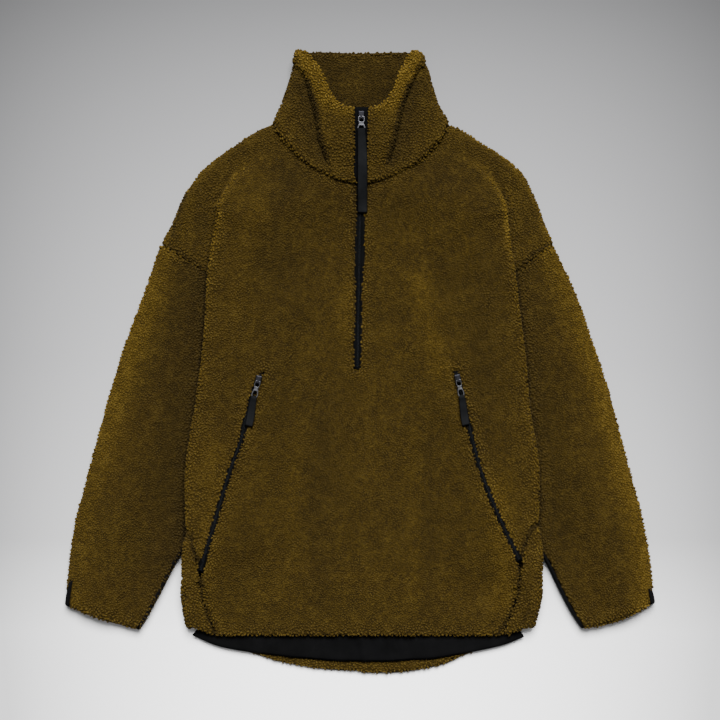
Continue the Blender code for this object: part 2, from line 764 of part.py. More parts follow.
def crossbar(origin, down):
    """The middle of the pull's crossbar: the axis that it turns on."""
    _, down = local_frame(down)
    height = SLIDER["thick"] + (BRIDGE["high"] - BRIDGE["wall"]) / 2
    return np.array([origin[0] + down[0] * 1.5, origin[1] + down[1] * 1.5, origin[2] + height])


def make_pull(name, origin, down, look):
    """A wire loop, with its origin on its crossbar."""
    across, down = local_frame(down)
    pivot = crossbar(origin, down)
    curve = bpy.data.curves.new(name, "CURVE")
    curve.dimensions = "3D"
    curve.bevel_depth = PULL["wire"] / 2 * MM
    curve.bevel_resolution = 1
    curve.use_fill_caps = True
    half = PULL["wide"] / 2 - PULL["wire"] / 2
    end = PULL["long"]
    corner = 2.2
    outline = [(corner - half, 0), (half - corner, 0), (half, corner), (half, end - corner)]
    outline += [(half - corner, end), (corner - half, end), (-half, end - corner), (-half, corner)]
    spline = curve.splines.new("POLY")
    spline.points.add(len(outline) - 1)
    for point, (x, y) in zip(spline.points, outline):
        xy = across * x + down * y
        point.co = (xy[0] * MM, xy[1] * MM, 0, 1)
    spline.use_cyclic_u = True
    made = add_object(name, curve, look)
    made.location = pivot * MM
    return made, pivot


def make_zip(name, origin, down, strap_line, strap_width, looks):
    make_slider(name + "_slider", origin, down, looks["metal"])
    pull, pivot = make_pull(name + "_pull", origin, down, looks["metal"])
    strap = ribbon(name + "_strap", strap_line, strap_width, 1.6, looks["webbing"], pivot)
    strap.parent = pull
    strap.location = (0, 0, 0)


def front_surface(side, x, y):
    return front_height(side, x, y) + FLEECE / 2


def pocket_line(side):
    """Plan points down the pocket zip."""
    rows = FRONT_ROWS[side][SEAM_ROW:POCKET_TOP_ROW + 1][::-1]
    return [plan(row["pocket_x"], row["pocket_y"]) for row in rows]


def make_zips(looks):
    rows = [ZIP_BOTTOM + 2.0]
    rows += [row["centre_y"] for row in FRONT_ROWS["right"] if row["centre_y"] > ZIP_BOTTOM + 5]
    rows += [row["centre_y"] for row in SHOULDER_ROWS["right"]]
    line = []
    widths = []
    for y in rows:
        bulge = at(SHOULDER_ROWS["right"], y, "centre_y", "bulge")
        line.append((zip_x(y), y, FRONT_MID + bulge + FLEECE / 2 - CHAIN_SUNK - CHAIN_THICK / 2))
        widths.append(2 * ZIP_HALF - 1.2)
    for y in (246.0, 275.0, 305.0, ZIP_TOP):
        v = (y - 238.8) / (340.0 - 238.8)
        line.append((zip_x(y), y, collar_height(v, 0) + COLLAR_FLEECE / 2 - CHAIN_SUNK - CHAIN_THICK / 2))
        widths.append(2 * ZIP_HALF - 1.2 if y < 250 else 2 * COLLAR_ZIP_HALF - 1.2)
    ribbon("front_zip_chain", line, widths, CHAIN_THICK, looks["chain"])
    y = 329.0
    origin = (zip_x(y), y, line[-1][2] + CHAIN_THICK / 2 + 0.5)
    pull_end = crossbar(origin, (0, -1))[1] - PULL["long"] - PULL["wire"] / 2 - 0.4
    top = origin[2] + SLIDER["thick"] + 1.2
    strap = [(zip_x(pull_end), pull_end, top), (1.4, 285.0, top - 0.6), (0.9, 262.0, top - 1.5)]
    strap += [(0.5, 243.0, 31.0), (0.0, 226.0, 27.2), (-0.4, 210.0, 23.5), (-0.6, 198.5, 22.4)]
    make_zip("front_zip", origin, (0, -1), strap, 13.0, looks)
    for side, sign in SIDES.items():
        points = pocket_line(side)
        chain = []
        for x, y in points:
            chain.append((sign * x, y, front_surface(side, x, y) - CHAIN_SUNK - CHAIN_THICK / 2))
        name = "pocket_zip_" + side
        chain = trimmed(chain, 4.0)
        ribbon(name + "_chain", chain, 2 * POCKET_HALF - 1.2, CHAIN_THICK, looks["chain"])
        head = np.array(chain[0])
        down = (np.array(chain[1]) - head)[:2]
        down = down / np.linalg.norm(down)
        origin = (head[0] + down[0] * 7, head[1] + down[1] * 7, head[2] + CHAIN_SUNK + CHAIN_THICK / 2 + 1.6)
        lean = math.radians(PULL_LEAN[side])
        _, down = local_frame((sign * math.sin(lean), -math.cos(lean)))
        pivot = crossbar(origin, down)
        strap = []
        for distance in np.linspace(PULL["long"] + PULL["wire"] / 2 + 0.4, 62.0, 4):
            xy = pivot[:2] + down * distance
            z = front_surface(side, abs(xy[0]), xy[1]) + 2.4
            strap.append((xy[0], xy[1], max(z, pivot[2] - (distance - 20) * 0.12)))
        make_zip(name, origin, down, strap, 9.0, looks)


def trimmed(line, length):
    """The line of (x, y, z) points with this much taken off its first and last segments."""
    line = [np.array(p, float) for p in line]
    for end, nxt in ((0, 1), (-1, -2)):
        step = line[nxt] - line[end]
        line[end] = line[end] + step / np.linalg.norm(step) * length
    return line


# ---------------------------------------------------------------- assembly

for old in list(bpy.data.objects):
    bpy.data.objects.remove(old, do_unlink=True)
PULLOVER = bpy.data.collections.new("fleece_pullover")
HELPERS = bpy.data.collections.new("cutters")
for made_collection in (PULLOVER, HELPERS):
    bpy.context.scene.collection.children.link(made_collection)
HELPERS.hide_render = True

FLEECE_COLOUR = (0.060, 0.032, 0.006)
WOVEN_COLOUR = (0.006, 0.006, 0.007)


def fleece(name):
    return material(name + "_sherpa", FLEECE_COLOUR, 0.95)


def woven(name):
    return material(name + "_woven", WOVEN_COLOUR, 0.6)


make_front(fleece("front"))
make_back(fleece("back"))
make_collar(fleece("collar"))
make_facing(woven("facing"))
for side_name in SIDES:
    make_side_panel(side_name, fleece("side_panel_" + side_name))
    make_sleeve(side_name, fleece("sleeve_" + side_name))
    make_sleeve_under(side_name, woven("sleeve_under_" + side_name))
make_zips({
    "chain": material("zip_chain", (0.008, 0.008, 0.009), 0.45),
    "metal": material("zip_metal", (0.35, 0.35, 0.36), 0.3, 1.0),
    "webbing": material("webbing", (0.012, 0.012, 0.016), 0.7),
})
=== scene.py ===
import json
import math

import bmesh
import bpy
import numpy as np
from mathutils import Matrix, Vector, kdtree, noise
from mathutils.bvhtree import BVHTree


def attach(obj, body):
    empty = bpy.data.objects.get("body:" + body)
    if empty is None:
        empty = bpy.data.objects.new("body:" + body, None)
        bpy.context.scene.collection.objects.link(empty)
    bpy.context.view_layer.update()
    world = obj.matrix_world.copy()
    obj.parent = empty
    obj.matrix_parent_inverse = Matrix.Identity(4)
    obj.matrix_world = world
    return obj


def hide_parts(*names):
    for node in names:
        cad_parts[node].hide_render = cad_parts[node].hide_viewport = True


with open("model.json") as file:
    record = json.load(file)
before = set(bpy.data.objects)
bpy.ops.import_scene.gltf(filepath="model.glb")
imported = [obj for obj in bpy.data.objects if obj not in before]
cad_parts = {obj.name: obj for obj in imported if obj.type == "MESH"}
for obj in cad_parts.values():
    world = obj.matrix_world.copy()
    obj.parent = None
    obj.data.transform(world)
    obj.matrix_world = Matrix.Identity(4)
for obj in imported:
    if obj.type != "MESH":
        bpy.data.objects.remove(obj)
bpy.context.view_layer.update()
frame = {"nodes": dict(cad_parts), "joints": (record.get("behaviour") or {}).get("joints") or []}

GARMENT = "garment"
MM = 0.001
noise.seed_set(3)       # the same pile each time

# ---------------------------------------------------------------- the cloth's form, as the CAD has it
# Millimetres, +Y from hem to collar, +X the wearer's left
SIDES = {"right": -1, "left": 1}
# Cloth
FLEECE = 7.0            # one layer of sherpa, with its pile
COLLAR_FLEECE = 11.0    # two layers of sherpa, back to back
WOVEN = 1.5             # black woven cloth of the sleeve under panel and of the hem facing
GAP = 0.6               # between two pieces at a seam
SIDE_SEAM_GAP = 1.0
NECK_GAP = 1.2
NECK_CORNER = (0.8, 4.2)    # and more than that at the shoulder, where both edges are round
EDGE_RADIUS = 9.0       # outer radius of a rounded edge, where one layer turns under another
EDGE_INSET = 9.0        # from the outline to the start of that turn
LIFT = 18.6             # how far the body is raised where a sleeve lies under it
SLEEVE_CLEAR = 14.0     # the body stays raised this far past the sleeve's edge
BACK_RAMP = 40.0        # width over which the back climbs onto a sleeve
FRONT_RAMP = 110.0      # width over which the front does
FOLD_LEVEL = 26.0       # the front is level over this width of the fold at the dropped shoulder
FRONT_MID = 14.5        # height of the middle of the front panel, where it lies lowest
BACK_MID = FLEECE / 2
UNDER = 10.0            # how far the front reaches under the shoulder edge

# Zips
ZIP_HALF = 3.2          # half the width of the front's slit
COLLAR_ZIP_HALF = 5.6
POCKET_HALF = 2.5
CHAIN_SUNK = 2.0        # the chain lies this far below the pile
ZIP_BOTTOM = -14.0
ZIP_TOP = 337.0
ZIP_SLANT = (-3.4, 2.0)  # x at its bottom end and at its top end

# Numbers of cells across each part of the front
INNER_CELLS = 4
OUTER_CELLS = 2
ARC_CELLS = 4
LOWER_CELLS = 2


def table(columns, *lines):
    names = columns.split()
    return [dict(zip(names, line)) for line in lines]


# The front up to the armpit, from the hem: one row of cloth per line.
# pocket = on the pocket zip or the seam below it.
FRONT_ROWS = {
    "right": table(
        "centre_y pocket_x pocket_y edge_x edge_y returns",
        (-371.9, 195.1, -371.9, None, None, 12),
        (-351.7, 202.5, -351.7, None, None, 12),
        (-328.7, 211.3, -328.7, None, None, 12),
        (-307.1, 214.2, -307.1, None, None, 12),
        (-282.8, 215.3, -285.5, 235.6, -228.8, 12),
        (-250.4, 205.9, -251.8, 236.3, -200.5, 12),
        (-216.7, 195.1, -216.7, 236.3, -174.8, 12),
        (-181.6, 185.0, -181.6, 235.6, -146.5, 12),
        (-146.5, 174.2, -146.5, 232.2, -118.1, 12),
        (-111.4, 161.3, -111.4, 228.2, -91.1, 13),
        (-76.3, 152.6, -76.3, 222.8, -62.8, 15),
        (-46.6, 145.1, -46.6, 219.4, -35.8, 17),
        (-15.0, 132.3, -16.8, 216.0, -11.5, 19),
        (10.1, 123.5, 11.5, 212.6, 16.9, 22),
        (39.8, 118.1, 41.2, 209.9, 43.9, 26),
        (65.5, 114.1, 66.8, 208.6, 68.2, 31),
    ),
    "left": table(
        "centre_y pocket_x pocket_y edge_x edge_y returns",
        (-371.9, 193.7, -371.9, None, None, 12),
        (-351.7, 201.2, -351.7, None, None, 12),
        (-328.7, 209.2, -328.7, None, None, 12),
        (-307.1, 214.0, -304.4, None, None, 12),
        (-282.8, 215.3, -270.7, 241.0, -220.7, 12),
        (-250.4, 203.9, -246.4, 242.3, -197.8, 12),
        (-216.7, 189.0, -215.3, 242.3, -174.8, 12),
        (-181.6, 174.8, -181.6, 241.7, -146.5, 12),
        (-146.5, 162.0, -146.5, 239.0, -118.1, 12),
        (-111.4, 152.6, -111.4, 233.6, -91.1, 13),
        (-76.3, 143.8, -76.3, 228.8, -62.8, 15),
        (-46.6, 136.0, -46.6, 226.8, -35.8, 17),
        (-15.0, 129.4, -14.5, 224.8, -11.5, 19),
        (10.1, 124.9, 12.8, 222.1, 16.9, 22),
        (39.8, 119.5, 42.5, 218.7, 43.9, 26),
        (65.5, 115.4, 68.2, 215.3, 68.2, 31),
    ),
}
SEAM_ROW = 4            # the crossing seam above the lower side panel, and the bottom end of the pocket zip
POCKET_TOP_ROW = 12
ARMPIT_ROW = 15

# Above the armpit each row runs on round the folded side and over the dropped shoulder to the outline (end).
# turn = degrees that the fold turns through: 180 lies flat on itself, 0 is no fold.
# sag drops the row at mid way.
SHOULDER_ROWS = {
    "right": table(
        "centre_y sag pocket_x pocket_y start_x start_y end_x end_y turn returns bulge",
        (99.2, 1, 111.4, 101.9, 198.2, 112.7, 268.0, 157.3, 180, 34, 0),
        (123.5, 1, 110.0, 128.9, 193.5, 147.8, 255.2, 182.9, 180, 24, 0),
        (146.5, 2, 107.3, 157.3, 186.8, 182.9, 238.3, 219.4, 172, 9, 0),
        (169.4, 2, 103.3, 185.6, 182.9, 204.5, 215.3, 254.5, 122, 4, 0.5),
        (192.4, 3, 95.2, 211.3, 160.0, 231.5, 185.6, 278.8, 62, 3, 1.5),
        (215.3, 4, 84.4, 236.9, 124.9, 254.5, 147.8, 301.7, 24, 3, 3),
        (237.6, 5, 64.1, 259.9, 80.3, 273.4, 116.8, 316.6, 4, 3, 4.5),
    ),
    "left": table(
        "centre_y sag pocket_x pocket_y start_x start_y end_x end_y turn returns bulge",
        (99.2, 1, 111.4, 101.9, 201.6, 114.1, 260.6, 157.3, 180, 34, 0),
        (123.5, 1, 110.0, 128.9, 196.2, 147.8, 250.4, 182.9, 180, 24, 0),
        (146.5, 2, 107.3, 157.3, 191.8, 182.9, 236.9, 219.4, 172, 9, 0),
        (169.4, 2, 103.3, 185.6, 188.3, 204.5, 218.0, 254.5, 122, 4, 0.5),
        (192.4, 3, 96.5, 211.3, 165.4, 232.9, 188.3, 278.8, 62, 3, 1.5),
        (215.3, 4, 85.7, 236.9, 128.9, 255.2, 150.5, 301.7, 24, 3, 3),
        (237.6, 5, 65.5, 259.9, 87.1, 274.7, 119.5, 317.2, 4, 3, 4.5),
    ),
}
RETURNS = 12            # how far the side panels run on under their edge
FOLD_RADIUS = 5.5       # of the middle of the cloth, at the folded side
HIDDEN_RADIUS = 4.8     # and at the hidden turn under it

# The lower side panel, from below its crossing seam to the hem
SIDE_ROWS = {
    "right": table(
        "seam_x seam_y edge_x edge_y",
        (214.2, -307.1, 240.3, -260.0),
        (211.3, -328.7, 240.8, -292.0),
        (202.5, -351.7, 239.0, -326.0),
        (195.1, -371.9, 233.5, -361.1),
    ),
    "left": table(
        "seam_x seam_y edge_x edge_y",
        (214.0, -304.4, 246.2, -256.0),
        (209.2, -328.7, 246.4, -290.0),
        (201.2, -351.7, 242.8, -326.0),
        (193.7, -371.9, 234.2, -361.1),
    ),
}

# Each sleeve from the cuff to the armhole seam: its outer edge and its inner edge, which lies under the body
SLEEVE_ROWS = {
    "right": table(
        "outer_x outer_y inner_x inner_y crown",
        (396.2, -331.4, 299.0, -363.8, 5),
        (394.9, -311.2, 285.5, -340.9, 8),
        (392.2, -278.8, 263.9, -311.2, 9),
        (382.7, -216.7, 232.9, -273.4, 9),
        (369.2, -166.7, 199.1, -230.2, 9),
        (353.0, -106.0, 183.6, -176.2, 9),
        (335.5, -42.5, 172.1, -103.3, 8),
        (313.9, 26.3, 164.0, -33.1, 7),
        (290.9, 87.1, 158.6, 29.0, 4),
        (268.0, 155.0, 157.3, 84.0, 0),
    ),
    "left": table(
        "outer_x outer_y inner_x inner_y crown",
        (396.2, -328.7, 300.4, -362.5, 5),
        (395.6, -308.5, 285.5, -339.5, 8),
        (392.2, -276.1, 265.3, -311.2, 9),
        (382.1, -216.7, 235.6, -273.4, 9),
        (369.2, -166.7, 201.8, -230.2, 9),
        (353.0, -106.0, 187.0, -176.2, 9),
        (336.2, -42.5, 176.2, -103.3, 8),
        (313.2, 26.3, 168.1, -33.1, 7),
        (292.3, 87.1, 162.7, 29.0, 4),
        (260.6, 155.0, 160.0, 81.2, 0),
    ),
}
CROWN_AT = 0.62         # the sleeve is fuller over this part of its width, from the outer edge
SLEEVE_UNDER = 19.0     # how far the sherpa reaches under the outer edge
PIPE_GAP = 0.9
PIPE = 5.0              # width of black cloth that shows along the inner edge

TAIL_WIDER = 18.0       # than the seam at the hem
BACK_MIDDLES = (-366.0, -345.0, -320.0, -300.0)     # where its rows behind the side panels cross its middle
ARMHOLE_Y = 70.0        # above it no sleeve lifts the back
TAIL = table(
    "x y",
    (-232.9, -361.1), (-215.3, -375.3), (-195.1, -382.1), (-161.3, -390.2), (-143.8, -395.6), (-93.8, -411.1),
    (-39.8, -417.8), (14.2, -419.2), (68.2, -417.8), (108.7, -409.7), (124.9, -401.6), (149.2, -391.5),
    (189.7, -382.1), (220.7, -371.9), (234.2, -361.1),
)
FACING_EDGE = table(
    "x y",
    (-219.0, -371.2), (-195.1, -383.4), (-161.3, -391.5), (-107.3, -398.9), (-39.8, -405.7), (27.7, -407.0),
    (95.2, -403.0), (149.2, -393.5), (189.7, -383.4), (219.0, -373.3),
)
FACING_TOP = -338.0
FACING_TAPER = 0.9      # its hidden top edge is this much shorter

# The collar's outline at each side, and its top edge on the front, from the zip outwards
COLLAR_SIDE = {
    "right": table("x y", (116.8, 317.8), (105.8, 349.0), (97.9, 371.9), (91.6, 394.0), (86.5, 417.2)),
    "left": table("x y", (119.5, 318.4), (105.2, 349.0), (97.9, 371.9), (92.5, 392.0), (82.5, 417.2)),
}
COLLAR_TOP = {
    "right": table("x y", (7.4, 340.0), (25.0, 344.5), (39.8, 361.1), (50.5, 390.0), (62.0, 405.0)),
    "left": table("x y", (10.5, 340.0), (27.5, 344.5), (42.5, 361.1), (51.5, 388.0), (60.0, 403.0)),
}
COLLAR_BACK = (327.6, 418.3)    # the back of the collar at its middle: neck seam and top edge
FRONT_COLLAR = (238.8, 340.0)   # its front beside the zip, from the neck seam to the top edge
COLLAR_RADIUS = 13.25    # outer radius of its folded side
COLLAR_RISE = (2.0, 8.0)        # how far its front stands up between the two creases: at the neck, at the top


def smooth(t):
    t = min(max(t, 0.0), 1.0)
    return t * t * (3 - 2 * t)


def mix(a, b, t):
    return a + (b - a) * t


def plan(*xy):
    return np.array(xy, float)


def column(rows, name):
    return [row[name] for row in rows]


def at(rows, x, key="x", value="y"):
    return float(np.interp(x, column(rows, key), column(rows, value)))


def sleeve_inner(side, y):
    """How far from the middle the hidden edge of the sleeve lies, at this height up the body."""
    return at(SLEEVE_ROWS[side], y, "inner_y", "inner_x")


def lift(side, x, y, ramp):
    return LIFT * smooth((x - sleeve_inner(side, y + SLEEVE_CLEAR) + ramp) / ramp)


def zip_x(y):
    return float(np.interp(y, (ZIP_BOTTOM, ZIP_TOP), ZIP_SLANT))


def arc(centre_out, centre_z, radius_out, radius_z, first, last, cells):
    """Points (outward, z) round part of an ellipse, without its first. Angles in degrees from +Z, outward."""
    angles = np.radians(np.linspace(first, last, cells + 1)[1:])
    return [(centre_out + radius_out * math.sin(a), centre_z + radius_z * math.cos(a)) for a in angles]


def place(origin, direction, outward_z):
    """Plan point and direction, with (outward, z) pairs: the points of an upright section."""
    return [(*(origin + direction * out), z) for out, z in outward_z]


# ---------------------------------------------------------------- front

def row_start(row):
    """Plan point where the front starts to turn round its side edge, on a row below the armpit."""
    return plan(row["edge_x"] - EDGE_INSET, row["edge_y"])


def front_height(side, x, y):
    return FRONT_MID + lift(side, x, y, FRONT_RAMP)


def side_turn(side, start, returns):
    """Round the side edge and back under it: (outward, z), from the point after start."""
    top = front_height(side, start[0], start[1])
    low = BACK_MID + lift(side, start[0], start[1], BACK_RAMP)
    radius = (top - low) / 2
    turn = arc(0, (top + low) / 2, FOLD_RADIUS, radius, 0, 180, ARC_CELLS)
    return turn + [(-returns / 2, low), (-returns, low)]


def fold_section(turn, returns):
    """The fold between the body and the dropped shoulder: (outward, z below its start), and the drop in all.

    Each bend keeps its length as it opens, so its radius grows."""
    angle = math.radians(turn)
    outer = FOLD_RADIUS * math.pi / angle
    inner = HIDDEN_RADIUS * math.pi / angle
    points = []
    for a in np.linspace(0, angle, ARC_CELLS + 1)[1:]:
        points.append((outer * math.sin(a), -outer * (1 - math.cos(a))))
    for part in (0.5, 1.0):
        out, z = points[ARC_CELLS - 1]
        points.append((out + part * returns * math.cos(angle), z - part * returns * math.sin(angle)))
    out, z = points[-1]
    for a in np.linspace(angle, 0, ARC_CELLS + 1)[1:]:
        step_out = inner * (math.sin(angle) - math.sin(a))
        step_down = inner * (math.cos(a) - math.cos(angle))
        points.append((out + step_out, z - step_down))
    return points, -points[-1][1]


def inner_part(row, edge_x, start, sag, height):
    """From the zip to the start of the fold, with the two sides of the pocket zip: (x, y, z)."""
    half = POCKET_HALF if row.get("edge_x", 0) is not None else GAP / 2
    centre_y = row["centre_y"]
    near = plan(row["pocket_x"] - half, row["pocket_y"])
    points = []
    for i in range(INNER_CELLS + 1):
        t = i / INNER_CELLS
        x = mix(edge_x, near[0], t)
        y = mix(centre_y, near[1], t) - sag * 4 * t * (1 - t)
        points.append((x, y, height(x, y, 0)))
    if start is None:
        return points
    far = plan(row["pocket_x"] + half, row["pocket_y"])
    for i in range(OUTER_CELLS + 1):
        t = i / OUTER_CELLS
        x, y = mix(far, start, t)
        points.append((x, y, height(x, y, t)))
    return points


def low_row(side, index):
    row = FRONT_ROWS[side][index]
    edge_x = ZIP_HALF + SIDES[side] * zip_x(row["centre_y"])

    def height(x, y, t):
        return front_height(side, x, y)

    if row["edge_x"] is None:
        return inner_part(row, edge_x, None, 0, height)
    start = row_start(row)
    points = inner_part(row, edge_x, start, 0, height)
    return points + place(start, plan(1, 0), side_turn(side, start, row["returns"]))


def shoulder_line(row):
    """The outline's point on the dropped shoulder, and the direction and distance to it from the fold."""
    start, end = plan(row["start_x"], row["start_y"]), plan(row["end_x"], row["end_y"])
    length = np.linalg.norm(end - start)
    return end, (end - start) / length, length


def shoulder_row(side, index):
    row = SHOULDER_ROWS[side][index]
    edge_x = ZIP_HALF + SIDES[side] * zip_x(row["centre_y"])
    start = plan(row["start_x"], row["start_y"])
    _, direction, length = shoulder_line(row)
    fold, drop = fold_section(row["turn"], row["returns"])

    def height(x, y, t):
        climb = smooth((x - start[0] + FOLD_LEVEL + FRONT_RAMP) / FRONT_RAMP)
        return FRONT_MID + drop * climb + row["bulge"] * (1 - smooth(t))

    points = inner_part(row, edge_x, start, row["sag"], height)
    section = [(out, FRONT_MID + drop + z) for out, z in fold]
    rim = float(length) - EDGE_RADIUS
    last = section[-1][0]
    for i in range(1, LOWER_CELLS + 1):
        section.append((mix(last, rim, i / LOWER_CELLS), FRONT_MID))
    middle = (FRONT_MID + BACK_MID) / 2
    section += arc(rim, middle, FOLD_RADIUS, FOLD_RADIUS, 0, 180, ARC_CELLS)
    section.append((rim - UNDER, BACK_MID))
    return points + place(start, direction, section)


def mirrored(points, sign):
    return [(sign * x, y, z) for x, y, z in points]


POCKET_CELL = INNER_CELLS
FOLD_CELL = INNER_CELLS + 1 + OUTER_CELLS
RETURN_END = FOLD_CELL + ARC_CELLS + 2
ROW_CELLS = RETURN_END + ARC_CELLS + LOWER_CELLS + ARC_CELLS + 1
FRONT_COUNT = len(FRONT_ROWS["right"])
SHOULDER_COUNT = len(SHOULDER_ROWS["right"])


def half_cell(cell):
    """The cell's number from the zip outwards, on its own side."""
    return ROW_CELLS - 1 - cell if cell < ROW_CELLS else cell - ROW_CELLS - 1


def front_keeps(row, cell):
    outwards = half_cell(cell)
    if cell == ROW_CELLS:
        return row < POCKET_TOP_ROW
    if row < SEAM_ROW:
        return outwards < POCKET_CELL
    if outwards == POCKET_CELL:
        return row >= POCKET_TOP_ROW
    return row > ARMPIT_ROW or outwards < RETURN_END


# ---------------------------------------------------------------- back

def back_half(side, centre_y, seam, lifted):
    """From the middle of the back to its side seam, over the sleeve where one lies under it."""
    seam_x, seam_y = seam
    inner = sleeve_inner(side, seam_y) if lifted else sleeve_inner(side, ARMHOLE_Y) - 7
    inner = min(inner, seam_x - 12)
    foot = inner - BACK_RAMP
    climb = [foot, mix(foot, inner, 0.33), mix(foot, inner, 0.67), inner]
    points = []
    for x in (0, foot / 2, *climb, (inner + seam_x) / 2, seam_x):
        y = mix(centre_y, seam_y, (x / seam_x) ** 2)
        points.append((x, y, BACK_MID + (lift(side, x, y, BACK_RAMP) if lifted else 0)))
    return points


def low_back_half(side, row, centre_y, returns):
    return back_half(side, centre_y, row_start(row) - plan(returns + SIDE_SEAM_GAP, 0), True)


def high_back_half(side, row, centre_y):
    end, direction, _ = shoulder_line(row)
    return back_half(side, centre_y, end - direction * (EDGE_RADIUS + UNDER + GAP), False)


def back_rows():
    """From the tail up: each row's two halves, by side."""
    tail = {}
    for side, sign in SIDES.items():
        half = back_half(side, 0, (FRONT_ROWS[side][0]["pocket_x"] + TAIL_WIDER, 0), False)
        tail[side] = [(x, at(TAIL, sign * x), BACK_MID) for x, _, _ in half]
    rows = [tail]
    for index, centre_y in zip((3, 2, 1, 0), BACK_MIDDLES):
        rows.append({side: low_back_half(side, SIDE_ROWS[side][index], centre_y, RETURNS) for side in SIDES})
    for pair in zip(*(FRONT_ROWS[side][SEAM_ROW:] for side in SIDES)):
        rows.append({side: low_back_half(side, row, row["centre_y"] - 10, row["returns"])
                     for side, row in zip(SIDES, pair)})
    centres = np.linspace(99.2, COLLAR_BACK[0] - NECK_GAP, SHOULDER_COUNT)
    for centre_y, *pair in zip(centres, *SHOULDER_ROWS.values()):
        rows.append({side: high_back_half(side, row, centre_y) for side, row in zip(SIDES, pair)})
    return rows


# ---------------------------------------------------------------- sleeves

SLEEVE_TOP_CELLS = 6


def sleeve_frame(row):
    """Plan point of the outer edge, plan direction out of the sleeve, and the sleeve's width."""
    outer = plan(row["outer_x"], row["outer_y"])
    inner = plan(row["inner_x"], row["inner_y"])
    width = float(np.linalg.norm(outer - inner))
    return outer, (outer - inner) / width, width


# ---------------------------------------------------------------- collar

COLLAR_ROWS = 5
COLLAR_FRONT_CELLS = 5
COLLAR_BACK_CELLS = 3


def neck_line(side):
    """The neck seam on the front, from the zip to the outline."""
    points = shoulder_row(side, SHOULDER_COUNT - 1)[: FOLD_CELL + 1]
    row = SHOULDER_ROWS[side][-1]
    return np.array([p[:2] for p in points] + [(row["end_x"], row["end_y"])])


def along(line, distances):
    steps = np.linalg.norm(np.diff(line, axis=0), axis=1)
    total = np.concatenate([[0], np.cumsum(steps)])
    return np.stack([np.interp(distances, total, line[:, i]) for i in (0, 1)], axis=1), total[-1]


def collar_height(v, t):
    rise = mix(COLLAR_RISE[0], COLLAR_RISE[1], v)
    return 2 * COLLAR_RADIUS - COLLAR_FLEECE / 2 + rise * (1 - smooth((t - 0.45) / 0.4))


def collar_half(side, v):
    line = neck_line(side) + plan(0, NECK_GAP)
    line[0, 0] += COLLAR_ZIP_HALF - ZIP_HALF
    line[-2:, 1] += NECK_CORNER
    length = along(line, [0])[1]
    neck = along(line, np.linspace(0, length - COLLAR_RADIUS, COLLAR_FRONT_CELLS + 1))[0]
    edge = np.array([(p["x"], p["y"]) for p in COLLAR_SIDE[side]])
    outline = np.array([np.interp(v, np.linspace(0, 1, len(edge)), edge[:, i]) for i in (0, 1)])
    slant = line[-1] - line[-2]
    slant /= np.linalg.norm(slant)
    direction = mix(slant, plan(1.0, 0.1), min(v * 1.6, 1.0))
    direction /= np.linalg.norm(direction)
    if v == 0:
        outline = line[-1]
    start = outline - direction * COLLAR_RADIUS
    top = np.array([(p["x"], p["y"]) for p in COLLAR_TOP[side]] + [edge[-1] - plan(1.0, 0.1) * COLLAR_RADIUS])
    front = mix(neck, top, v)
    front += np.linspace(0, 1, COLLAR_FRONT_CELLS + 1)[:, None] ** 2 * (start - front[-1])
    points = [(*p, collar_height(v, i / COLLAR_FRONT_CELLS)) for i, p in enumerate(front)]
    radius = COLLAR_RADIUS - COLLAR_FLEECE / 2
    points += place(start, direction, arc(0, COLLAR_RADIUS, radius, radius, 0, 180, ARC_CELLS + 1))
    back_y = mix(COLLAR_BACK[0], COLLAR_BACK[1], v)
    for i in range(1, COLLAR_BACK_CELLS + 1):
        t = i / COLLAR_BACK_CELLS
        points.append((mix(start[0], 0, t), mix(start[1], back_y, 1 - (1 - t) ** 2), COLLAR_FLEECE / 2))
    return points


# ---------------------------------------------------------------- fine cloth from the coarse rows

def knots(points, axis):
    steps = np.linalg.norm(np.diff(points, axis=axis), axis=2).mean(axis=1 - axis)
    return np.concatenate([[0.0], np.cumsum(np.maximum(steps, 0.4))])


def refine(points, axis, spacing):
    """More points along one axis of a grid, on smooth curves, and the coarse cell of each new cell."""
    knot = knots(points, axis)
    values = np.moveaxis(points, axis, 0)
    length = np.diff(knot)
    secant = np.diff(values, axis=0) / length[:, None, None]
    slope = np.empty_like(values)
    slope[0], slope[-1] = secant[0], secant[-1]
    weight = (length[1:] / (length[1:] + length[:-1]))[:, None, None]
    slope[1:-1] = weight * secant[1:] + (1 - weight) * secant[:-1]
    spacing = np.broadcast_to(spacing, len(length))
    parts, cells = [], []
    for j, reach in enumerate(length):
        count = max(1, int(round(reach / spacing[j])))
        t = (np.arange(count) / count)[:, None, None]
        a, b = values[j], values[j + 1]
        bend_a, bend_b = slope[j] * reach, slope[j + 1] * reach
        parts.append(
            a * (1 + 2 * t) * (1 - t) ** 2 + bend_a * t * (1 - t) ** 2
            + b * t * t * (3 - 2 * t) + bend_b * t * t * (t - 1)
        )
        cells += [j] * count
    parts.append(values[-1:])
    return np.moveaxis(np.concatenate(parts), 0, axis), np.array(cells)


def grid_normals(grid):
    across = np.gradient(grid, axis=1)
    up = np.gradient(grid, axis=0)
    normal = np.cross(across, up)
    size = np.linalg.norm(normal, axis=2, keepdims=True)
    return normal / np.maximum(size, 1e-9)


def nearest(tree_points, queries):
    """Distance to, and index of, the nearest of some points, for each query."""
    tree = kdtree.KDTree(len(tree_points))
    for i, p in enumerate(tree_points):
        tree.insert(p, i)
    tree.balance()
    found = [tree.find(q) for q in queries]
    return np.array([f[2] for f in found]), np.array([f[1] for f in found])


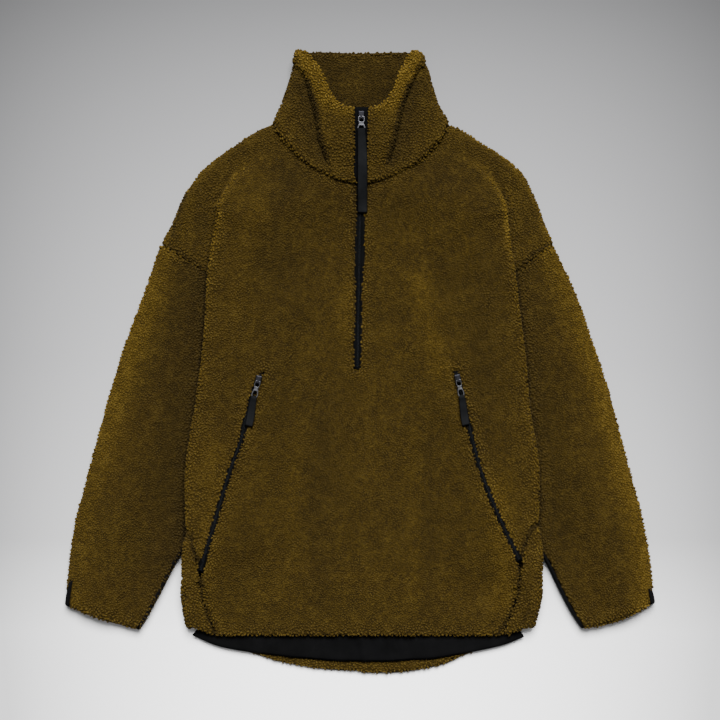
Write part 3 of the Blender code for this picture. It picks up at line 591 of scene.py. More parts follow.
def curls(points):
    """How far the pile stands at each point, from 0 in a gap to 1 on a curl."""
    heights = np.empty(len(points))
    for i, p in enumerate(points):
        v = Vector((p[0], p[1] * 0.8, p[2]))
        bent = v + noise.noise_vector(v * 0.11) * 4.0
        ridge = 1 - abs(noise.noise(bent * 0.1)) * 3.0
        clump = noise.noise(v * 0.05)
        heights[i] = 0.6 * ridge + 0.4 * (0.5 + clump)
    return np.clip(heights, 0, 1)


def make_mesh(name, points, faces, look, layers=None, body=GARMENT):
    mesh = bpy.data.meshes.new(name)
    mesh.from_pydata((np.asarray(points) * MM).tolist(), [], faces)
    mesh.polygons.foreach_set("use_smooth", [True] * len(mesh.polygons))
    for layer, values in (layers or {}).items():
        attribute = mesh.attributes.new(layer, "FLOAT", "POINT")
        attribute.data.foreach_set("value", np.asarray(values, np.float32))
    mesh.materials.append(look)
    made = bpy.data.objects.new(name, mesh)
    bpy.context.scene.collection.objects.link(made)
    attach(made, body)
    return made


def rim_directions(sides, middle, out):
    """The points along the edge of the cloth, and at each the direction out of the cloth in its own plane."""
    total = np.zeros_like(middle)
    for a, b in sides:
        step = middle[b] - middle[a]
        across = np.cross(step, out[a] + out[b])
        total[a] += across
        total[b] += across
    ring = np.array(sorted({v for pair in sides for v in pair}))
    away = total[ring]
    away /= np.maximum(np.linalg.norm(away, axis=1, keepdims=True), 1e-9)
    return ring, away


CURL_STAND = 1.5        # how far the curls rise above the ground of the cloth
TURNED_UNDER = 8.0      # how far the outer side runs on behind its rolled edge
EDGE_STRIP = 8.0        # width of the strip that moves with the edge
INNER_SHIFT = 40.0      # the inner side has the pile of another place
SHELLS = {}


def numbered(kept):
    """At each point of the grid, how many kept cells touch it, and its number if any does."""
    rows, cols = np.array(kept.shape) + 1
    count = np.zeros((rows, cols), int)
    for dr in (0, 1):
        for dc in (0, 1):
            count[dr:rows - 1 + dr, dc:cols - 1 + dc] += kept
    number = np.full((rows, cols), -1)
    number[count > 0] = np.arange((count > 0).sum())
    return count, number


def with_pile(points, out, pile, shift=0.0, share=1.0):
    """The points with relief of this depth along out, and how far the pile stands at each."""
    if not pile:
        return points, np.ones(len(points))
    heights = curls(points + shift)
    return points + out * ((pile * (heights - 0.6) - CURL_STAND) * share)[:, None], heights


def shell(name, coarse, keep, half, spacing, look, pile=0.8, both=False, edge=3.0, relief=None, grow=0.4,
          body=GARMENT):
    """Cloth with a rolled edge on the form of a CAD sheet.

    coarse is its middle surface, half is half its thickness, and its outer side carries pile this deep.
    both = the inner side has it too; otherwise the edge turns under a little."""
    grid, cell_col = refine(np.array(coarse, float), 1, spacing[0])
    grid, cell_row = refine(grid, 0, spacing[1])
    normal = grid_normals(grid)
    if relief is not None:
        grid = grid + normal * relief(grid, normal)[..., None]
        normal = grid_normals(grid)
    mask = np.array([[keep(r, c) for c in range(len(coarse[0]) - 1)] for r in range(len(coarse) - 1)])
    kept = mask[cell_row][:, cell_col]
    count, number = numbered(kept)
    used = count > 0
    middle, out = grid[used], normal[used]
    sides = rim_edges(kept, number)
    ring, away = rim_directions(sides, middle, out)
    distance, beside = nearest(middle[ring], middle)
    distance[ring] = 0.0
    rolled = edge(middle, out) if callable(edge) else edge
    wider = grow(middle) if callable(grow) else grow
    spread = np.clip(1 - distance / EDGE_STRIP, 0, 1) ** 2
    middle = middle + away[beside] * (wider * spread)[:, None]
    roll = np.sqrt(np.maximum(1 - (1 - np.clip(distance / rolled, 0, 1)) ** 2, 0))
    rise = out * (half * roll)[:, None]
    surface, heights = with_pile(middle + rise, out, pile)
    r, c = np.nonzero(kept)
    corner = [number[r, c], number[r, c + 1], number[r + 1, c + 1], number[r + 1, c]]
    faces = np.stack(corner, axis=1).tolist()
    points, shade, rims = [surface], [heights], [distance]
    if both:
        below, other = with_pile(middle - rise, -out, pile, INNER_SHIFT, np.clip(distance / 3.0, 0, 1))
        inner = np.where(count[used] < 4, 0, len(middle)) + np.arange(len(middle))
        points.append(below)
        shade.append(other)
        rims.append(distance)
        faces += inner[np.stack(corner[::-1], axis=1)].tolist()
    else:
        last, total = {v: v for v in ring}, len(middle)
        for back, down in ((0.13 * half, 0.5), (0.5 * half, 0.87), (half, 1.0), (TURNED_UNDER, 1.0)):
            points.append(middle[ring] - away * back - out[ring] * down * half)
            shade.append(np.full(len(ring), 0.6))
            rims.append(np.zeros(len(ring)))
            new = {v: total + i for i, v in enumerate(ring)}
            faces += [[last[b], last[a], new[a], new[b]] for a, b in sides]
            last = new
            total += len(ring)
    layers = {"pile": np.concatenate(shade), "rim": np.concatenate(rims)}
    made = make_mesh(name, np.concatenate(points), faces, look, layers, body)
    made.data.validate()
    dropped_loose(made)
    SHELLS[name] = made
    return made


def dropped_loose(made):
    """Removes points that no face uses."""
    mesh = made.data
    loops = np.empty(len(mesh.loops), np.int32)
    mesh.loops.foreach_get("vertex_index", loops)
    used = np.zeros(len(mesh.vertices), bool)
    used[loops] = True
    if used.all():
        return
    bm = bmesh.new()
    bm.from_mesh(mesh)
    bm.verts.ensure_lookup_table()
    bmesh.ops.delete(bm, geom=[bm.verts[i] for i in np.nonzero(~used)[0]], context="VERTS")
    bm.to_mesh(mesh)
    bm.free()


def rim_edges(kept, number):
    """Pairs of point numbers along the edge of the kept cells, with the cloth on their left."""
    padded = np.pad(kept, 1)
    here = padded[1:-1, 1:-1]
    pairs = []
    for beyond, (up_a, on_a), (up_b, on_b) in (
        (padded[:-2, 1:-1], (0, 0), (0, 1)), (padded[2:, 1:-1], (1, 1), (1, 0)),
        (padded[1:-1, :-2], (1, 0), (0, 0)), (padded[1:-1, 2:], (0, 1), (1, 1)),
    ):
        r, c = np.nonzero(here & ~beyond)
        pairs += zip(number[r + up_a, c + on_a], number[r + up_b, c + on_b])
    return pairs


def all_cells(row, cell):
    return True


# ---------------------------------------------------------------- looks

# Colours of the pile, partly its own tone and partly painted light: the darker gap and root colours paint
# shade between the curls, the lighter tip colour paints a highlight on their tops
FLEECE_GAP = (0.0120, 0.0074, 0.0008)
CURL_ROOT = (0.0105, 0.0064, 0.0006)
FLEECE_MID = (0.0192, 0.0117, 0.0012)
FLEECE_TIP = (0.0375, 0.0246, 0.0040)
SHEEN = 0.03
SHEEN_TINT = (0.95, 0.66, 0.22)
PATCHES = (26.0, 2.0)       # scale and detail of broad lighter and darker patches
CLUMPS = (95.0, 1.0)        # and of clumps of a few curls


class Look:
    """A material and its nodes. Scales are for places in metres."""

    def __init__(self, name, colour, roughness, metallic=0.0, specular=0.5, sheen=0.0, rough=0.5,
                 tint=(1, 1, 1)):
        self.made = bpy.data.materials.new(name)
        self.made.use_nodes = True
        self.tree = self.made.node_tree
        self.shader = self.tree.nodes["Principled BSDF"]
        self.feed(self.shader, {
            "Base Color": (*colour, 1.0), "Roughness": roughness, "Metallic": metallic, "Sheen Weight": sheen,
            "Sheen Roughness": rough, "Sheen Tint": (*tint, 1.0), "Specular IOR Level": specular,
        })
        self.where = self.add("ShaderNodeTexCoord", {}).outputs["Object"]

    def feed(self, node, inputs):
        """Gives sockets a value, or the output of another node."""
        for socket, value in inputs.items():
            if isinstance(value, bpy.types.NodeSocket):
                self.tree.links.new(value, node.inputs[socket])
            else:
                node.inputs[socket].default_value = value

    def add(self, kind, inputs, **settings):
        node = self.tree.nodes.new(kind)
        for key, value in settings.items():
            setattr(node, key, value)
        self.feed(node, inputs)
        return node

    def math(self, operation, a, b=0.5, clamp=False):
        return self.add("ShaderNodeMath", {0: a, 1: b}, operation=operation, use_clamp=clamp).outputs[0]

    def total(self, *terms):
        """The sum of outputs, each times its share."""
        parts = [self.math("MULTIPLY", output, share) for output, share in terms]
        added = parts[0]
        for part in parts[1:]:
            added = self.math("ADD", added, part)
        return added

    def scaled(self, colour, factor):
        return self.add("ShaderNodeVectorMath", {0: colour, "Scale": factor}, operation="SCALE").outputs[0]

    def attribute(self, name):
        return self.add("ShaderNodeAttribute", {}, attribute_name=name).outputs["Fac"]

    def noise(self, where, scale, detail=2.0, rough=0.5, output="Fac"):
        inputs = {"Vector": where, "Scale": scale, "Detail": detail, "Roughness": rough}
        return self.add("ShaderNodeTexNoise", inputs).outputs[output]

    def uneven(self, scale, detail):
        """Noise about zero."""
        return self.math("SUBTRACT", self.noise(self.where, scale, detail), 0.5)

    def ramp(self, value, *stops):
        node = self.add("ShaderNodeValToRGB", {"Fac": value})
        elements = node.color_ramp.elements
        while len(elements) < len(stops):
            elements.new(0.5)
        for element, (position, colour) in zip(elements, stops):
            element.position = position
            element.color = (*colour, 1.0)
        return node.outputs["Color"]

    def finish(self, colour, height=None, strength=0.5, distance=0.0):
        """The shader's colour and bump."""
        self.feed(self.shader, {"Base Color": colour})
        if height is not None:
            bump = self.add("ShaderNodeBump", {"Height": height, "Strength": strength, "Distance": distance})
            self.feed(self.shader, {"Normal": bump.outputs["Normal"]})
        return self.made


def ground_look():
    """The pile between the curls, in knots and strands."""
    look = Look("sherpa", FLEECE_MID, 0.95, specular=0.06, sheen=SHEEN, rough=0.45, tint=SHEEN_TINT)
    bend = look.noise(look.where, 150.0, 1.0, output="Color")
    inputs = {0: bend, 1: (0.006,) * 3, 2: look.where}
    bent = look.add("ShaderNodeVectorMath", inputs, operation="MULTIPLY_ADD").outputs[0]
    inputs = {"Vector": bent, "Scale": 265.0, "Smoothness": 0.35}
    knots = look.add("ShaderNodeTexVoronoi", inputs, feature="SMOOTH_F1")
    knot = look.math("SUBTRACT", 1.0, look.math("MULTIPLY", knots.outputs["Distance"], 1.25), clamp=True)
    beside = look.math("ABSOLUTE", look.math("SUBTRACT", look.noise(bent, 300.0, 1.0), 0.5))
    strand = look.math("SUBTRACT", 1.0, look.math("MULTIPLY", beside, 7.0), clamp=True)
    fuzz = look.noise(look.where, 1600.0, 1.0, 0.6)
    curl = look.total((knot, 0.6), (strand, 0.4))
    # the pile's heights darken the gaps between its curls: painted shade
    shade = look.total((curl, 0.52), (look.attribute("pile"), 0.34), (fuzz, 0.14),
                       (look.uneven(*PATCHES), 0.15))
    colour = look.ramp(shade, (0.22, FLEECE_GAP), (0.48, FLEECE_MID), (0.80, FLEECE_TIP))
    height = look.math("ADD", curl, look.math("MULTIPLY", fuzz, 0.25))
    return look.finish(look.scaled(colour, look.attribute("light")), height, 0.9, 0.0022)


def curl_look():
    look = Look("sherpa_curls", FLEECE_MID, 0.95, specular=0.06, sheen=SHEEN, tint=SHEEN_TINT)
    fuzz = look.noise(look.where, 1300.0, 2.0, 0.6)
    # the tip attribute darkens each curl's ends and sides and lightens its top: painted shade and painted
    # highlight
    shade = look.total((look.attribute("tip"), 0.36), (look.attribute("tone"), 0.30), (fuzz, 0.34),
                       (look.uneven(*PATCHES), 0.15), (look.uneven(*CLUMPS), 0.55))
    colour = look.ramp(shade, (0.10, CURL_ROOT), (0.50, FLEECE_MID), (0.90, FLEECE_TIP))
    return look.finish(look.scaled(colour, look.attribute("light")), fuzz, 0.5, 0.0006)


def woven_look(name, colour, roughness, pitch, depth):
    """Crossing threads this far apart, with a slow change of tone."""
    look = Look(name, colour, roughness, specular=0.03)
    inputs = {"Vector": look.where, "Scale": 1.0 / pitch / 3.14, "Distortion": 0.4}
    threads = (look.add("ShaderNodeTexWave", inputs, bands_direction=axis) for axis in ("X", "Y"))
    height = look.math("MULTIPLY", *(thread.outputs["Fac"] for thread in threads))
    cloud = look.noise(look.where, 34.0, 3.0)
    dark, light = (tuple(c * share for c in colour) for share in (0.30, 2.3))
    colour = look.ramp(look.total((height, 0.3), (cloud, 0.7)), (0.2, dark), (0.8, light))
    return look.finish(colour, look.math("ADD", height, cloud), 0.5, depth)


def metal_look(name, colour, roughness):
    """Metal worn duller and darker in small spots."""
    look = Look(name, colour, roughness, metallic=1.0)
    worn = look.noise(look.where, 900.0, 4.0)
    inputs = {"Value": worn, "To Min": roughness - 0.08, "To Max": roughness + 0.14}
    rough = look.add("ShaderNodeMapRange", inputs)
    look.feed(look.shader, {"Roughness": rough.outputs[0]})
    return look.finish(look.ramp(worn, (0.3, tuple(c * 0.75 for c in colour)), (0.7, colour)))


SHERPA = ground_look()
CURLS = curl_look()
NYLON = woven_look("black_nylon", (0.0011, 0.0011, 0.0012), 0.70, 0.0009, 0.0004)
WEBBING = woven_look("webbing", (0.0037, 0.0039, 0.0042), 0.7, 0.0014, 0.0008)
TAPE = woven_look("zip_tape", (0.0008, 0.0009, 0.0010), 0.75, 0.001, 0.0005)
METAL = metal_look("zip_metal", (0.048, 0.048, 0.051), 0.34)
DARK_METAL = metal_look("zip_slider", (0.012, 0.012, 0.014), 0.38)
COIL = metal_look("zip_coil", (0.015, 0.016, 0.018), 0.45)

# ---------------------------------------------------------------- relief: folds laid into the cloth

# Soft folds and hollows of the front: line of (x, y), height, half width
FRONT_FOLDS = (
    (((-10, 94), (-18, 40)), 1.6, 12), (((79, 107), (92, 53), (109, -14)), 1.8, 13),
    (((-215, -286), (-212.5, -325), (-202, -354), (-195, -378)), -2.2, 3.6),
    (((-241, -221), (-226, -243.5), (-223, -261), (-217, -270)), -2.6, 4.0),
    (((214, -270), (215, -291), (212.5, -318), (203, -345), (187, -378)), -2.2, 3.6),
    (((244, -218), (230, -230), (221, -250), (215, -268)), -2.4, 4.0),
    (((230, -333), (217, -358)), -1.8, 3.6),
    (((-88, 103), (-104, 10), (-122, -40), (-140, -140)), 2.6, 15),
    (((70, 26), (88, -20), (110, -60)), 2.4, 14),
    (((-94, -320), (-93, -372)), 1.8, 9),
    (((-41, -300), (-41, -372)), 1.4, 9),
    (((60, -310), (64, -372)), 1.2, 10),
    (((-60, 150), (-75, 60), (-90, -60)), -2.0, 22),
    (((100, 140), (95, 60), (60, -60)), -1.8, 24),
    (((-150, 150), (-172, 60), (-180, -20)), 2.2, 14),
    (((-231, 226), (-240, 200), (-248, 170)), 3.4, 7),
    (((-238, 226), (-247, 200), (-255, 170)), -2.4, 5),
    (((-212, 145), (-236, 152), (-258, 168)), 1.6, 7),
    (((214, 134), (238, 156), (258, 170)), 2.2, 8),
    (((160, 150), (180, 60), (190, -20)), 2.0, 14),
)


def signed_distance(line, x, y):
    """Distance to a line of plan points, negative on its right hand."""
    best = np.full_like(x, 1e9)
    signed = np.zeros_like(x)
    for (ax, ay), (bx, by) in zip(line, line[1:]):
        dx, dy = bx - ax, by - ay
        t = np.clip(((x - ax) * dx + (y - ay) * dy) / (dx * dx + dy * dy), 0, 1)
        gap = np.hypot(x - ax - t * dx, y - ay - t * dy)
        turn = np.sign(dx * (y - ay) - dy * (x - ax))
        signed = np.where(gap < best, gap * turn, signed)
        best = np.minimum(best, gap)
    return signed


def eased(t):
    t = np.clip(t, 0, 1)
    return t * t * (3 - 2 * t)


def ridge_relief(folds, x, y):
    total = np.zeros_like(x)
    for line, height, width in folds:
        total += height * bump(signed_distance(line, x, y), width)
    return total


def swell(x, y, size, turned):
    """Slow, uneven rise and fall of laid cloth, -1 to 1, from four waves that cross."""
    total = np.zeros_like(x)
    for i, (angle, long) in enumerate(((0.3, 1.0), (1.4, 0.73), (2.3, 1.31), (0.9, 0.52))):
        angle += turned
        across = x * math.cos(angle) + y * math.sin(angle)
        total += np.sin(across * 2 * math.pi / (size * long) + turned * (i + 1) * 2.1)
    return total / 4


def bump(distance, width, power=2):
    """A rounded hump, 1 in its middle."""
    return np.exp(-(distance / width) ** power)


def upward(normal):
    """From 1 where the cloth faces up to 0 at its sides, and the other way round."""
    return np.clip(normal[..., 2] * 2, 0, 1), np.clip(1 - 1.4 * np.abs(normal[..., 2]), 0, 1)


def front_relief(grid, normal):
    x, y = grid[..., 0], grid[..., 1]
    up, level = upward(normal)
    shoulders = (y > 200) * (5.0 * bump(x + 132, 36) + 3.5 * bump(x - 132, 22))
    fuller = 2.8 * eased((-290 - y) / 30) + shoulders
    return (ridge_relief(FRONT_FOLDS, x, y) + 0.9 * swell(x, y, 130, 0.4)) * up + fuller * level


def sleeve_relief(grid, normal):
    x, y = grid[..., 0], grid[..., 1]
    up, level = upward(normal)
    fuller = 2.7 - 0.8 * np.sign(x) - 2.6 * eased((-305 - y) / 20)
    return 1.0 * swell(x, y, 110, 1.7) * up + fuller * (level * (normal[..., 0] * x > 0))


# How much wider the front's slit shows at heights up it, on its right and left edge
SLIT_OPENS = ((-16, 10, 50, 105, 130, 240), (2.0, 3.2, 1.9, 1.9, 1.9, 1.9), (0.4, 0.6, 1.2, 1.6, 3.9, 4.2))


def front_reach(points):
    """How much wider than the solid the cloth is at its edges. It is narrower at the pockets' lower ends."""
    x, y = points[:, 0], points[:, 1]
    beside = np.abs(x)
    end = bump(y + 272, 9) * (beside > 190)
    at_neck = eased((y - 225) / 15) * eased((beside - 30) / 30)
    slit = bump(x, 16, 4) * eased((y + 16) / 6)
    left, right = (np.interp(y, SLIT_OPENS[0], SLIT_OPENS[i]) for i in (1, 2))
    drop = eased((beside - 150) / 30) * eased((y - 95) / 20) * (1 + 0.7 * eased((y - 180) / 20))
    middle = np.interp(y, (ZIP_BOTTOM, ZIP_TOP), ZIP_SLANT)
    return 0.4 - 1.6 * end + 3.6 * at_neck - np.where(x < middle, left, right) * slit + 1.8 * drop


def sleeve_reach(points):
    across = np.clip((np.abs(points[:, 0]) - 300) / 96, 0, 1)
    top = 1.4 * eased((points[:, 1] - 95) / 20)
    return 0.4 + top + np.where(points[:, 0] > 0, 7.4, 3.2) * np.sin(np.pi * across) * (points[:, 1] < -300)


def tail_reach(points):
    return 0.4 + 3.0 * eased((-375 - points[:, 1]) / 15) * (1 + 0.4 * np.sign(points[:, 0]))


# ---------------------------------------------------------------- the pieces

STEP = 2.6


def panel_row(side, index):
    """A row of the front and, past the seam, of the lower side panel."""
    row = SIDE_ROWS[side][::-1][index]
    start = row_start(row)
    seam = plan(row["seam_x"] + GAP / 2, row["seam_y"])
    outer = []
    for i in range(OUTER_CELLS + 1):
        x, y = mix(seam, start, i / OUTER_CELLS)
        outer.append((x, y, front_height(side, x, y)))
    return low_row(side, index) + outer + place(start, plan(1, 0), side_turn(side, start, RETURNS))


def whole_front():
    """Front and side panels as one sheet, with rows carried on where there is no cloth."""
    rows = [(panel_row, i) for i in range(SEAM_ROW)] + [(low_row, i) for i in range(SEAM_ROW, FRONT_COUNT)]
    rows += [(shoulder_row, i) for i in range(SHOULDER_COUNT)]
    rows = [[np.array(make(side, i)) for side in SIDES] for make, i in rows]
    sheet = []
    for halves in rows:
        done = []
        for points, full, sign in zip(halves, rows[FRONT_COUNT], SIDES.values()):
            short = len(points)
            if short < ROW_CELLS + 1:
                points = np.concatenate([points, full[short:] - full[short - 1] + points[-1]])
            done.append(points * (sign, 1, 1))
        sheet.append(np.concatenate([done[0][::-1], done[1]]))
    return np.array(sheet)


def panel_keeps(side):
    def keeps(row, cell):
        on_side = cell < ROW_CELLS if side == "right" else cell > ROW_CELLS
        return on_side and row < SEAM_ROW and POCKET_CELL < half_cell(cell) < RETURN_END
    return keeps


FRONT_SHEET = whole_front()
# The cells are larger where the cloth is out of sight, folded under itself
FRONT_STEPS = [STEP * 1.8 if FOLD_CELL + 3 <= half_cell(c) < RETURN_END + 3 else STEP
               for c in range(len(FRONT_SHEET[0]) - 1)]
FRONT_STEPS[ROW_CELLS] = STEP
front = shell("front_sherpa", FRONT_SHEET, front_keeps, FLEECE / 2, (FRONT_STEPS, STEP), SHERPA,
              relief=front_relief, grow=front_reach)
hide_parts("front")
for side in SIDES:
    panel = shell("side_panel_sherpa_" + side, FRONT_SHEET, panel_keeps(side), FLEECE / 2,
                  (FRONT_STEPS, STEP), SHERPA, relief=front_relief, grow=front_reach)
    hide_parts("side_panel_" + side)

back_sheet = [mirrored(halves["right"], -1)[:0:-1] + halves["left"] for halves in back_rows()]
back_cells = len(back_sheet[0]) - 1
BACK_ARMPIT = FRONT_COUNT - SEAM_ROW + 4


def back_keeps(row, cell):
    return row != BACK_ARMPIT or 2 <= cell < back_cells - 2


def face_down(rows):
    """The same sheet with its other side out."""
    return [row[::-1] for row in rows]


tail_steps = [STEP * 0.9] + [STEP * 1.9] * (len(back_sheet) - 2)
back = shell("back_sherpa", face_down(back_sheet), back_keeps, FLEECE / 2, (STEP * 1.7, tail_steps), SHERPA,
             both=True, grow=tail_reach)
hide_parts("back")

FACING_HALF = 219.0
FACING_MID = FLEECE + 0.5 + WOVEN / 2
FACING_FOLDS = (
    (((2, -340), (0, -372), (8, -406)), 2.4, 6), (((38, -350), (42, -404)), 1.8, 5),
    (((-30, -350), (-26, -404)), 1.2, 8), (((100, -360), (96, -400)), 1.6, 7),
    (((-90, -360), (-94, -400)), 1.4, 8), (((-150, -360), (-140, -392)), 1.2, 6),
    (((60, -372), (70, -405)), -1.0, 6), (((-60, -380), (-66, -405)), -0.8, 7),
)
facing_rows = []
for part in (0.0, 0.33, 0.66, 1.0):
    row = []
    for x in np.linspace(-FACING_HALF, FACING_HALF, 15):
        wider = mix(1.036 if x < 0 else 1.042 if x < 200 else 1.014, FACING_TAPER, part)
        row.append((x * wider, mix(at(FACING_EDGE, x) - 1.2, FACING_TOP, part), FACING_MID))
    facing_rows.append(row)
facing = shell("hem_facing_cloth", facing_rows, all_cells, WOVEN / 2, (STEP, STEP), NYLON, pile=0, both=True,
               relief=lambda g, n: ridge_relief(FACING_FOLDS, g[..., 0], g[..., 1]))
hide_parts("hem_facing")

# How much wider than the solid's the sleeve is, at heights of its inner edge
SLEEVE_TRIM = ((-363, 2), (-340, 2), (-311, -3), (-273, -13), (-230, -15), (-176, -9), (-103, 0))
PIPE_SHOWN = {"right": 0.8, "left": 4.4}
CORNER_LONG = {"right": 36, "left": 22}     # how far up the cuff's corner shows black
CORNER_LOWEST = 0.8     # of the middle of its cloth above the floor
CORNERS = []


def sleeve_rows(side):
    sign = SIDES[side]
    upper, under = [], []
    for row in SLEEVE_ROWS[side]:
        outer, direction, width = sleeve_frame(row)
        width += np.interp(row["inner_y"], *zip(*SLEEVE_TRIM))
        low = FLEECE / 2
        top = 2 * EDGE_RADIUS - low
        section = [(-SLEEVE_UNDER, low), (-EDGE_RADIUS, low)]
        section += arc(-EDGE_RADIUS, EDGE_RADIUS, FOLD_RADIUS, FOLD_RADIUS, 180, 0, ARC_CELLS)
        run = width - EDGE_RADIUS - PIPE_SHOWN[side] - PIPE_GAP
        for i in range(1, SLEEVE_TOP_CELLS + 1):
            t = i / SLEEVE_TOP_CELLS
            crown = row["crown"] * math.sin(math.pi * min(t / CROWN_AT, 1.0))
            section.append((-EDGE_RADIUS - run * t, top + crown))
        upper.append(mirrored(place(outer, direction, section), sign))
        low = WOVEN / 2
        top = 2 * EDGE_RADIUS - low
        centre = -(width - PIPE)
        section = [(centre, top)]
        section += arc(centre, EDGE_RADIUS, -(PIPE - low), (top - low) / 2, 0, 180, ARC_CELLS)
        for i in range(4):
            section.append((mix(centre + 6, -SLEEVE_UNDER - GAP, i / 3), low))
        under.append(mirrored(place(outer, direction, section), sign))
    return (upper, under) if sign < 0 else (upper[::-1], under[::-1])


def corner_rows(side):
    """The under panel's cloth where it shows round the outer corner of the cuff, tucked in further up."""
    sign = SIDES[side]
    frames = [sleeve_frame(row)[:2] for row in SLEEVE_ROWS[side][:3]]
    start, direction = frames[0]
    up = (frames[2][0] - start) / np.linalg.norm(frames[2][0] - start)
    rows = []
    for step in range(6):
        outer = start + up * (CORNER_LONG[side] * step / 5 - 0.5)
        radius = EDGE_RADIUS + 2.8 - 4.2 * (step / 5) ** 2
        turns = np.radians(np.linspace(-70, 62, 9))
        heights = np.maximum(EDGE_RADIUS + radius * np.sin(turns), CORNER_LOWEST)
        section = list(zip(radius * np.cos(turns) - EDGE_RADIUS, heights))
        rows.append(mirrored(place(outer, direction, section), sign))
    return rows if sign < 0 else rows[::-1]


for side in SIDES:
    upper, under = sleeve_rows(side)
    sleeve = shell("sleeve_sherpa_" + side, upper, all_cells, FLEECE / 2, (STEP, STEP), SHERPA,
                   relief=sleeve_relief, grow=sleeve_reach)
    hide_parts("sleeve_" + side)
    lining = shell("sleeve_under_cloth_" + side, under, all_cells, WOVEN / 2, (STEP, STEP * 2), NYLON, pile=0,
                   both=True)
    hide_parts("sleeve_under_" + side)
    corner = shell("sleeve_corner_cloth_" + side, corner_rows(side), all_cells, WOVEN / 2, (2.0, 2.0), NYLON,
                   pile=0, both=True, edge=0.8)
    CORNERS.append(SHELLS.pop(corner.name))

# Where the stood up front of the collar folds over its sides, from the top down
COLLAR_CREASES = {
    "right": ((-82, 398), (-70, 377), (-62, 350), (-56, 323), (-53, 298), (-44, 272)),
    "left": ((76, 393), (65, 371), (56, 345), (51, 323), (45, 295), (38, 272)),
}
# The edge of the collar's opening, from its left corner down to the zip and up again
OPENING = ((-62, 416), (-51, 400), (-43.5, 377), (-34, 363), (-20, 351), (-6, 343), (14, 343), (26.5, 352),
           (37, 360), (43.5, 377), (51, 393), (62, 408), (76, 416))
STANDS = 12             # the collar's front is higher than this, its back lower
COLLAR_SHORTER = 398    # from here up its outline is drawn in


def inside_creases(x, y):
    """Distance inwards from each of the collar's creases."""
    return [signed_distance(COLLAR_CREASES[side], x, y) * -sign for side, sign in SIDES.items()]


def collar_relief(grid, normal):
    x, y = grid[..., 0], grid[..., 1]
    up = np.clip(normal[..., 2] * 3 - 0.5, 0, 1) * (grid[..., 2] > STANDS)
    inner = inside_creases(x, y)
    total = np.zeros_like(x)
    for inwards in inner:
        total -= 6.0 * bump(inwards + 3.0, 4.5) * eased((402 - y) / 26)
    total += 5.0 * eased((np.minimum(*inner) + 2) / 7) * np.clip((y - 262) / 30, 0, 1)
    rim = np.abs(signed_distance(OPENING, x, y))
    total += 3.0 * bump(rim - 11, 9) * np.clip((y - 330) / 30, 0, 1)
    total += 0.8 * swell(x, y, 60, 2.2)
    return total * up


def collar_edge(points, out):
    """How far in from the edge the collar is rounded: much more along the top of its stood up front."""
    high = np.clip((points[:, 1] - 290) / 30, 0, 1) * np.clip((np.abs(points[:, 0]) - 7) / 10, 0, 1)
    front = np.clip(out[:, 2] * 3, 0, 1) * (points[:, 2] > STANDS)
    return 3.0 + 8.0 * high * front


def neck_reach(points):
    """How much further than the solid the collar reaches: most at the neck seam's ends, less at the zip."""
    x, y = points[:, 0], points[:, 1]
    corner = eased((np.abs(x) - 70) / 40) * eased((y - 230) / 20) * eased((325 - y) / 10)
    seam = eased((np.abs(x) - 30) / 30) * eased((320 - y) / 20)
    beside_zip = bump(x - 1.5, 14, 4) * eased((y - 244) / 25) * (points[:, 2] > STANDS)
    return 0.4 + 4.6 * corner + 1.8 * seam - np.where(x > 1.5, 3.2, 2.2) * beside_zip


def drawn_in(x, y, z):
    """A point of the collar, lower and narrower near its top edge."""
    if y <= COLLAR_SHORTER:
        return x, y, z
    top = eased((y - COLLAR_SHORTER) / 12)
    lower = 3.6 * math.exp(-(x / 42) ** 2) + 3.5 * eased((x - 68) / 18)
    inwards = 5.0 * eased((x - 66) / 16) - 3.0 * eased((-x - 72) / 14)
    return x - top * inwards, y - top * lower, z


collar_rows = []
for index in range(COLLAR_ROWS):
    v = index / (COLLAR_ROWS - 1)
    row = mirrored(collar_half("right", v), -1)[:-1] + collar_half("left", v)[::-1]
    collar_rows.append([drawn_in(*point) for point in row])
collar = shell("collar_sherpa", collar_rows[::-1], all_cells, COLLAR_FLEECE / 2, (STEP, STEP), SHERPA,
               both=True, edge=collar_edge, relief=collar_relief, grow=neck_reach)
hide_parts("collar")

# ---------------------------------------------------------------- curls of the pile, one by one

CURL_SPACING = 2.45
COARSER = 0.75          # how much further apart the larger curls along seams and folds stand
# Painted shade: rays find how much sky each curl sees, and its colour darkens where folds hide the rest; how
# many rays, how far, how steeply
SKY_RAYS = 14
SKY_REACH = 70.0
SKY_DEPTH = 1.2
EDGE_LIGHT = 0.30       # painted highlight: how much lighter the larger curls are, at edges, folded sides and steep places
MOST_CURLS = 16000      # in one object
CURL_SEED = 11
CURL_POINTS = 8


def triangles(made):
    """The piece's points in millimetres, and the corners of its triangles."""
    mesh = made.data
    mesh.calc_loop_triangles()
    points = np.empty(len(mesh.vertices) * 3)
    mesh.vertices.foreach_get("co", points)
    corners = np.empty(len(mesh.loop_triangles) * 3, np.int32)
    mesh.loop_triangles.foreach_get("vertices", corners)
    return points.reshape(-1, 3) / MM, corners.reshape(-1, 3)


def tree_of(objects):
    points, corners, total = [], [], 0
    for made in objects:
        p, c = triangles(made)
        points.append(p)
        corners.append(c + total)
        total += len(p)
    return BVHTree.FromPolygons(np.concatenate(points).tolist(), np.concatenate(corners).tolist())


